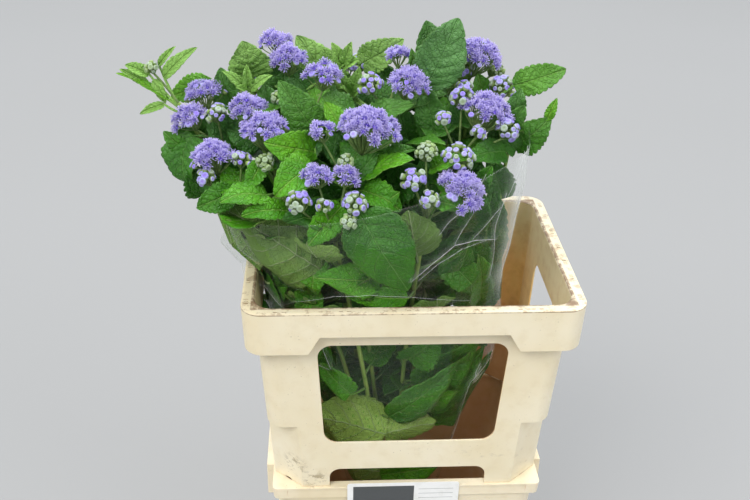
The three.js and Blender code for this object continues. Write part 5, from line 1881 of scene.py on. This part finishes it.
# A thin strip along each fold, fully white: partly a pressed fold, partly a painted glint
for line, _, _, _, edge in FOLDS:
    ends = np.array([(math.radians(turn), z * MM) for turn, z in line])
    lengths = np.hypot(np.diff(ends[:, 0]) * FOLD_ROUND, np.diff(ends[:, 1]))
    along = np.concatenate([[0], np.cumsum(lengths)])
    at = np.linspace(0, along[-1], max(6, round(along[-1] / FOLD_STEP)))
    turns = np.interp(at, along, ends[:, 0])
    heights = np.interp(at, along, ends[:, 1])
    _, ridge = fold_marks(turns, heights)
    middle = [Vector(sleeve_place(*row)) for row in zip(turns, heights, ridge + FOLD_LIFT)]
    first = len(places)
    for k, (point, turn) in enumerate(zip(middle, turns)):
        way = (middle[min(k + 1, len(middle) - 1)] - middle[max(k - 1, 0)]).normalized()
        out = Vector((math.cos(turn), math.sin(turn), 0))
        side = out.cross(way).normalized()
        taper = math.sin(math.pi * (k + 0.5) / len(middle)) ** 0.5 * (0.75 + 0.25 * math.sin(1.7 * k))
        reach = side * edge * MM * taper
        places += [point - reach, point - out * FOLD_LIFT / 2, point + reach, point + out * FOLD_LIFT / 2]
    for k in range(len(middle) - 1):
        low = first + 4 * k
        for corner in range(4):
            after = (corner + 1) % 4
            faces.append((low + corner, low + after, low + 4 + after, low + 4 + corner))
    last = first + 4 * (len(middle) - 1)
    faces += [(first + 3, first + 2, first + 1, first), (last, last + 1, last + 2, last + 3)]
    whitening_and_glint += [1.0] * 4 * len(middle)
sleeve = new_piece("clear_sleeve", places, faces)
smoothed(sleeve)
carry(sleeve, "crease", "FLOAT", whitening_and_glint)
finished(sleeve, film)
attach(sleeve, "root")
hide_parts("film_sleeve")

# ----------------------------------------------------------------------
# The studio: a wide pale floor, a large soft light in front and to the left, a fill at the right, a light
# from above and behind, and the camera.
# ----------------------------------------------------------------------
FLOOR_HALF = 9.0
CAMERA_PLACE = Vector((-101.4, -1066.1, 1165.2)) * MM
CAMERA_PITCH = math.radians(29.104)
CAMERA_YAW = math.radians(-3.2957)
CAMERA_ROLL = math.radians(1.0197)
CAMERA_LENS = 46.4
CAMERA_SENSOR = 36
CAMERA_NEAR = 20 * MM
SKY_COLOUR = (0.93, 0.96, 1.0, 1.0)
HORIZON_LIGHT = 0.47
CEILING_LIGHT = 1.3

floor_paint, start = new_finish("studio_floor")
place = start.place()
broad = place.grain(0.6, 2)
sockets = {
    "Base Color": broad.mix(paint(151, 151, 151), paint(147, 147, 146)),
    "Roughness": 0.75 + 0.1 * broad,
    "Normal": place.grain(300, 2).bump(0.0002, 0.2),
}
start.principled(sockets).shown()
floor = new_piece("studio_floor", [
    (-FLOOR_HALF, -FLOOR_HALF, 0), (FLOOR_HALF, -FLOOR_HALF, 0),
    (FLOOR_HALF, FLOOR_HALF, 0), (-FLOOR_HALF, FLOOR_HALF, 0),
], [(0, 1, 2, 3)])
finished(floor, floor_paint)

world = bpy.data.worlds.new("studio")
world.use_nodes = True
sky = world.node_tree.nodes["Background"]
sky.inputs["Color"].default_value = SKY_COLOUR
way = Wire(world.node_tree).node("ShaderNodeTexCoord", out="Generated")
above = way.height().between(-0.1, 0.95)
ambient = HORIZON_LIGHT + (CEILING_LIGHT - HORIZON_LIGHT) * above
world.node_tree.links.new(ambient.socket, sky.inputs["Strength"])
bpy.context.scene.world = world
bpy.context.scene.view_settings.view_transform = "Standard"


def soft_light(name, place, target, size, power, colour):
    """A large rectangular lamp that hangs at a place and shines at a target."""
    lamp = bpy.data.lights.new(name, "AREA")
    lamp.shape = "RECTANGLE"
    lamp.size = size[0]
    lamp.size_y = size[1]
    lamp.energy = power
    lamp.color = colour
    made = bpy.data.objects.new(name, lamp)
    made.location = place
    made.rotation_euler = (Vector(target) - Vector(place)).to_track_quat("-Z", "Y").to_euler()
    bpy.context.scene.collection.objects.link(made)


soft_light("key_light", (-4.4, -5.0, 7.6), (0, 0, 0.6), (5.6, 4.0), 490, (1.0, 0.985, 0.96))
soft_light("fill_light", (6.0, -4.0, 4.6), (0, 0, 0.5), (4.6, 4.6), 125, (1.0, 0.99, 0.98))
soft_light("top_light", (0.6, 2.6, 8.0), (0, 0, 0.6), (6.2, 3.6), 400, (0.96, 0.98, 1.0))

right = Vector((math.cos(CAMERA_YAW), math.sin(CAMERA_YAW), 0))
ahead = Vector((-math.sin(CAMERA_YAW), math.cos(CAMERA_YAW), 0))
forward = ahead * math.cos(CAMERA_PITCH) - Vector((0, 0, 1)) * math.sin(CAMERA_PITCH)
upward = ahead * math.sin(CAMERA_PITCH) + Vector((0, 0, 1)) * math.cos(CAMERA_PITCH)
camera_x = right * math.cos(CAMERA_ROLL) + upward * math.sin(CAMERA_ROLL)
camera_y = upward * math.cos(CAMERA_ROLL) - right * math.sin(CAMERA_ROLL)
lens = bpy.data.cameras.new("studio_camera")
lens.lens = CAMERA_LENS
lens.sensor_width = CAMERA_SENSOR
lens.clip_start = CAMERA_NEAR
camera = bpy.data.objects.new("studio_camera", lens)
camera.matrix_world = Matrix((
    (camera_x.x, camera_y.x, -forward.x, CAMERA_PLACE.x),
    (camera_x.y, camera_y.y, -forward.y, CAMERA_PLACE.y),
    (camera_x.z, camera_y.z, -forward.z, CAMERA_PLACE.z),
    (0, 0, 0, 1),
))
bpy.context.scene.collection.objects.link(camera)
bpy.context.scene.camera = camera
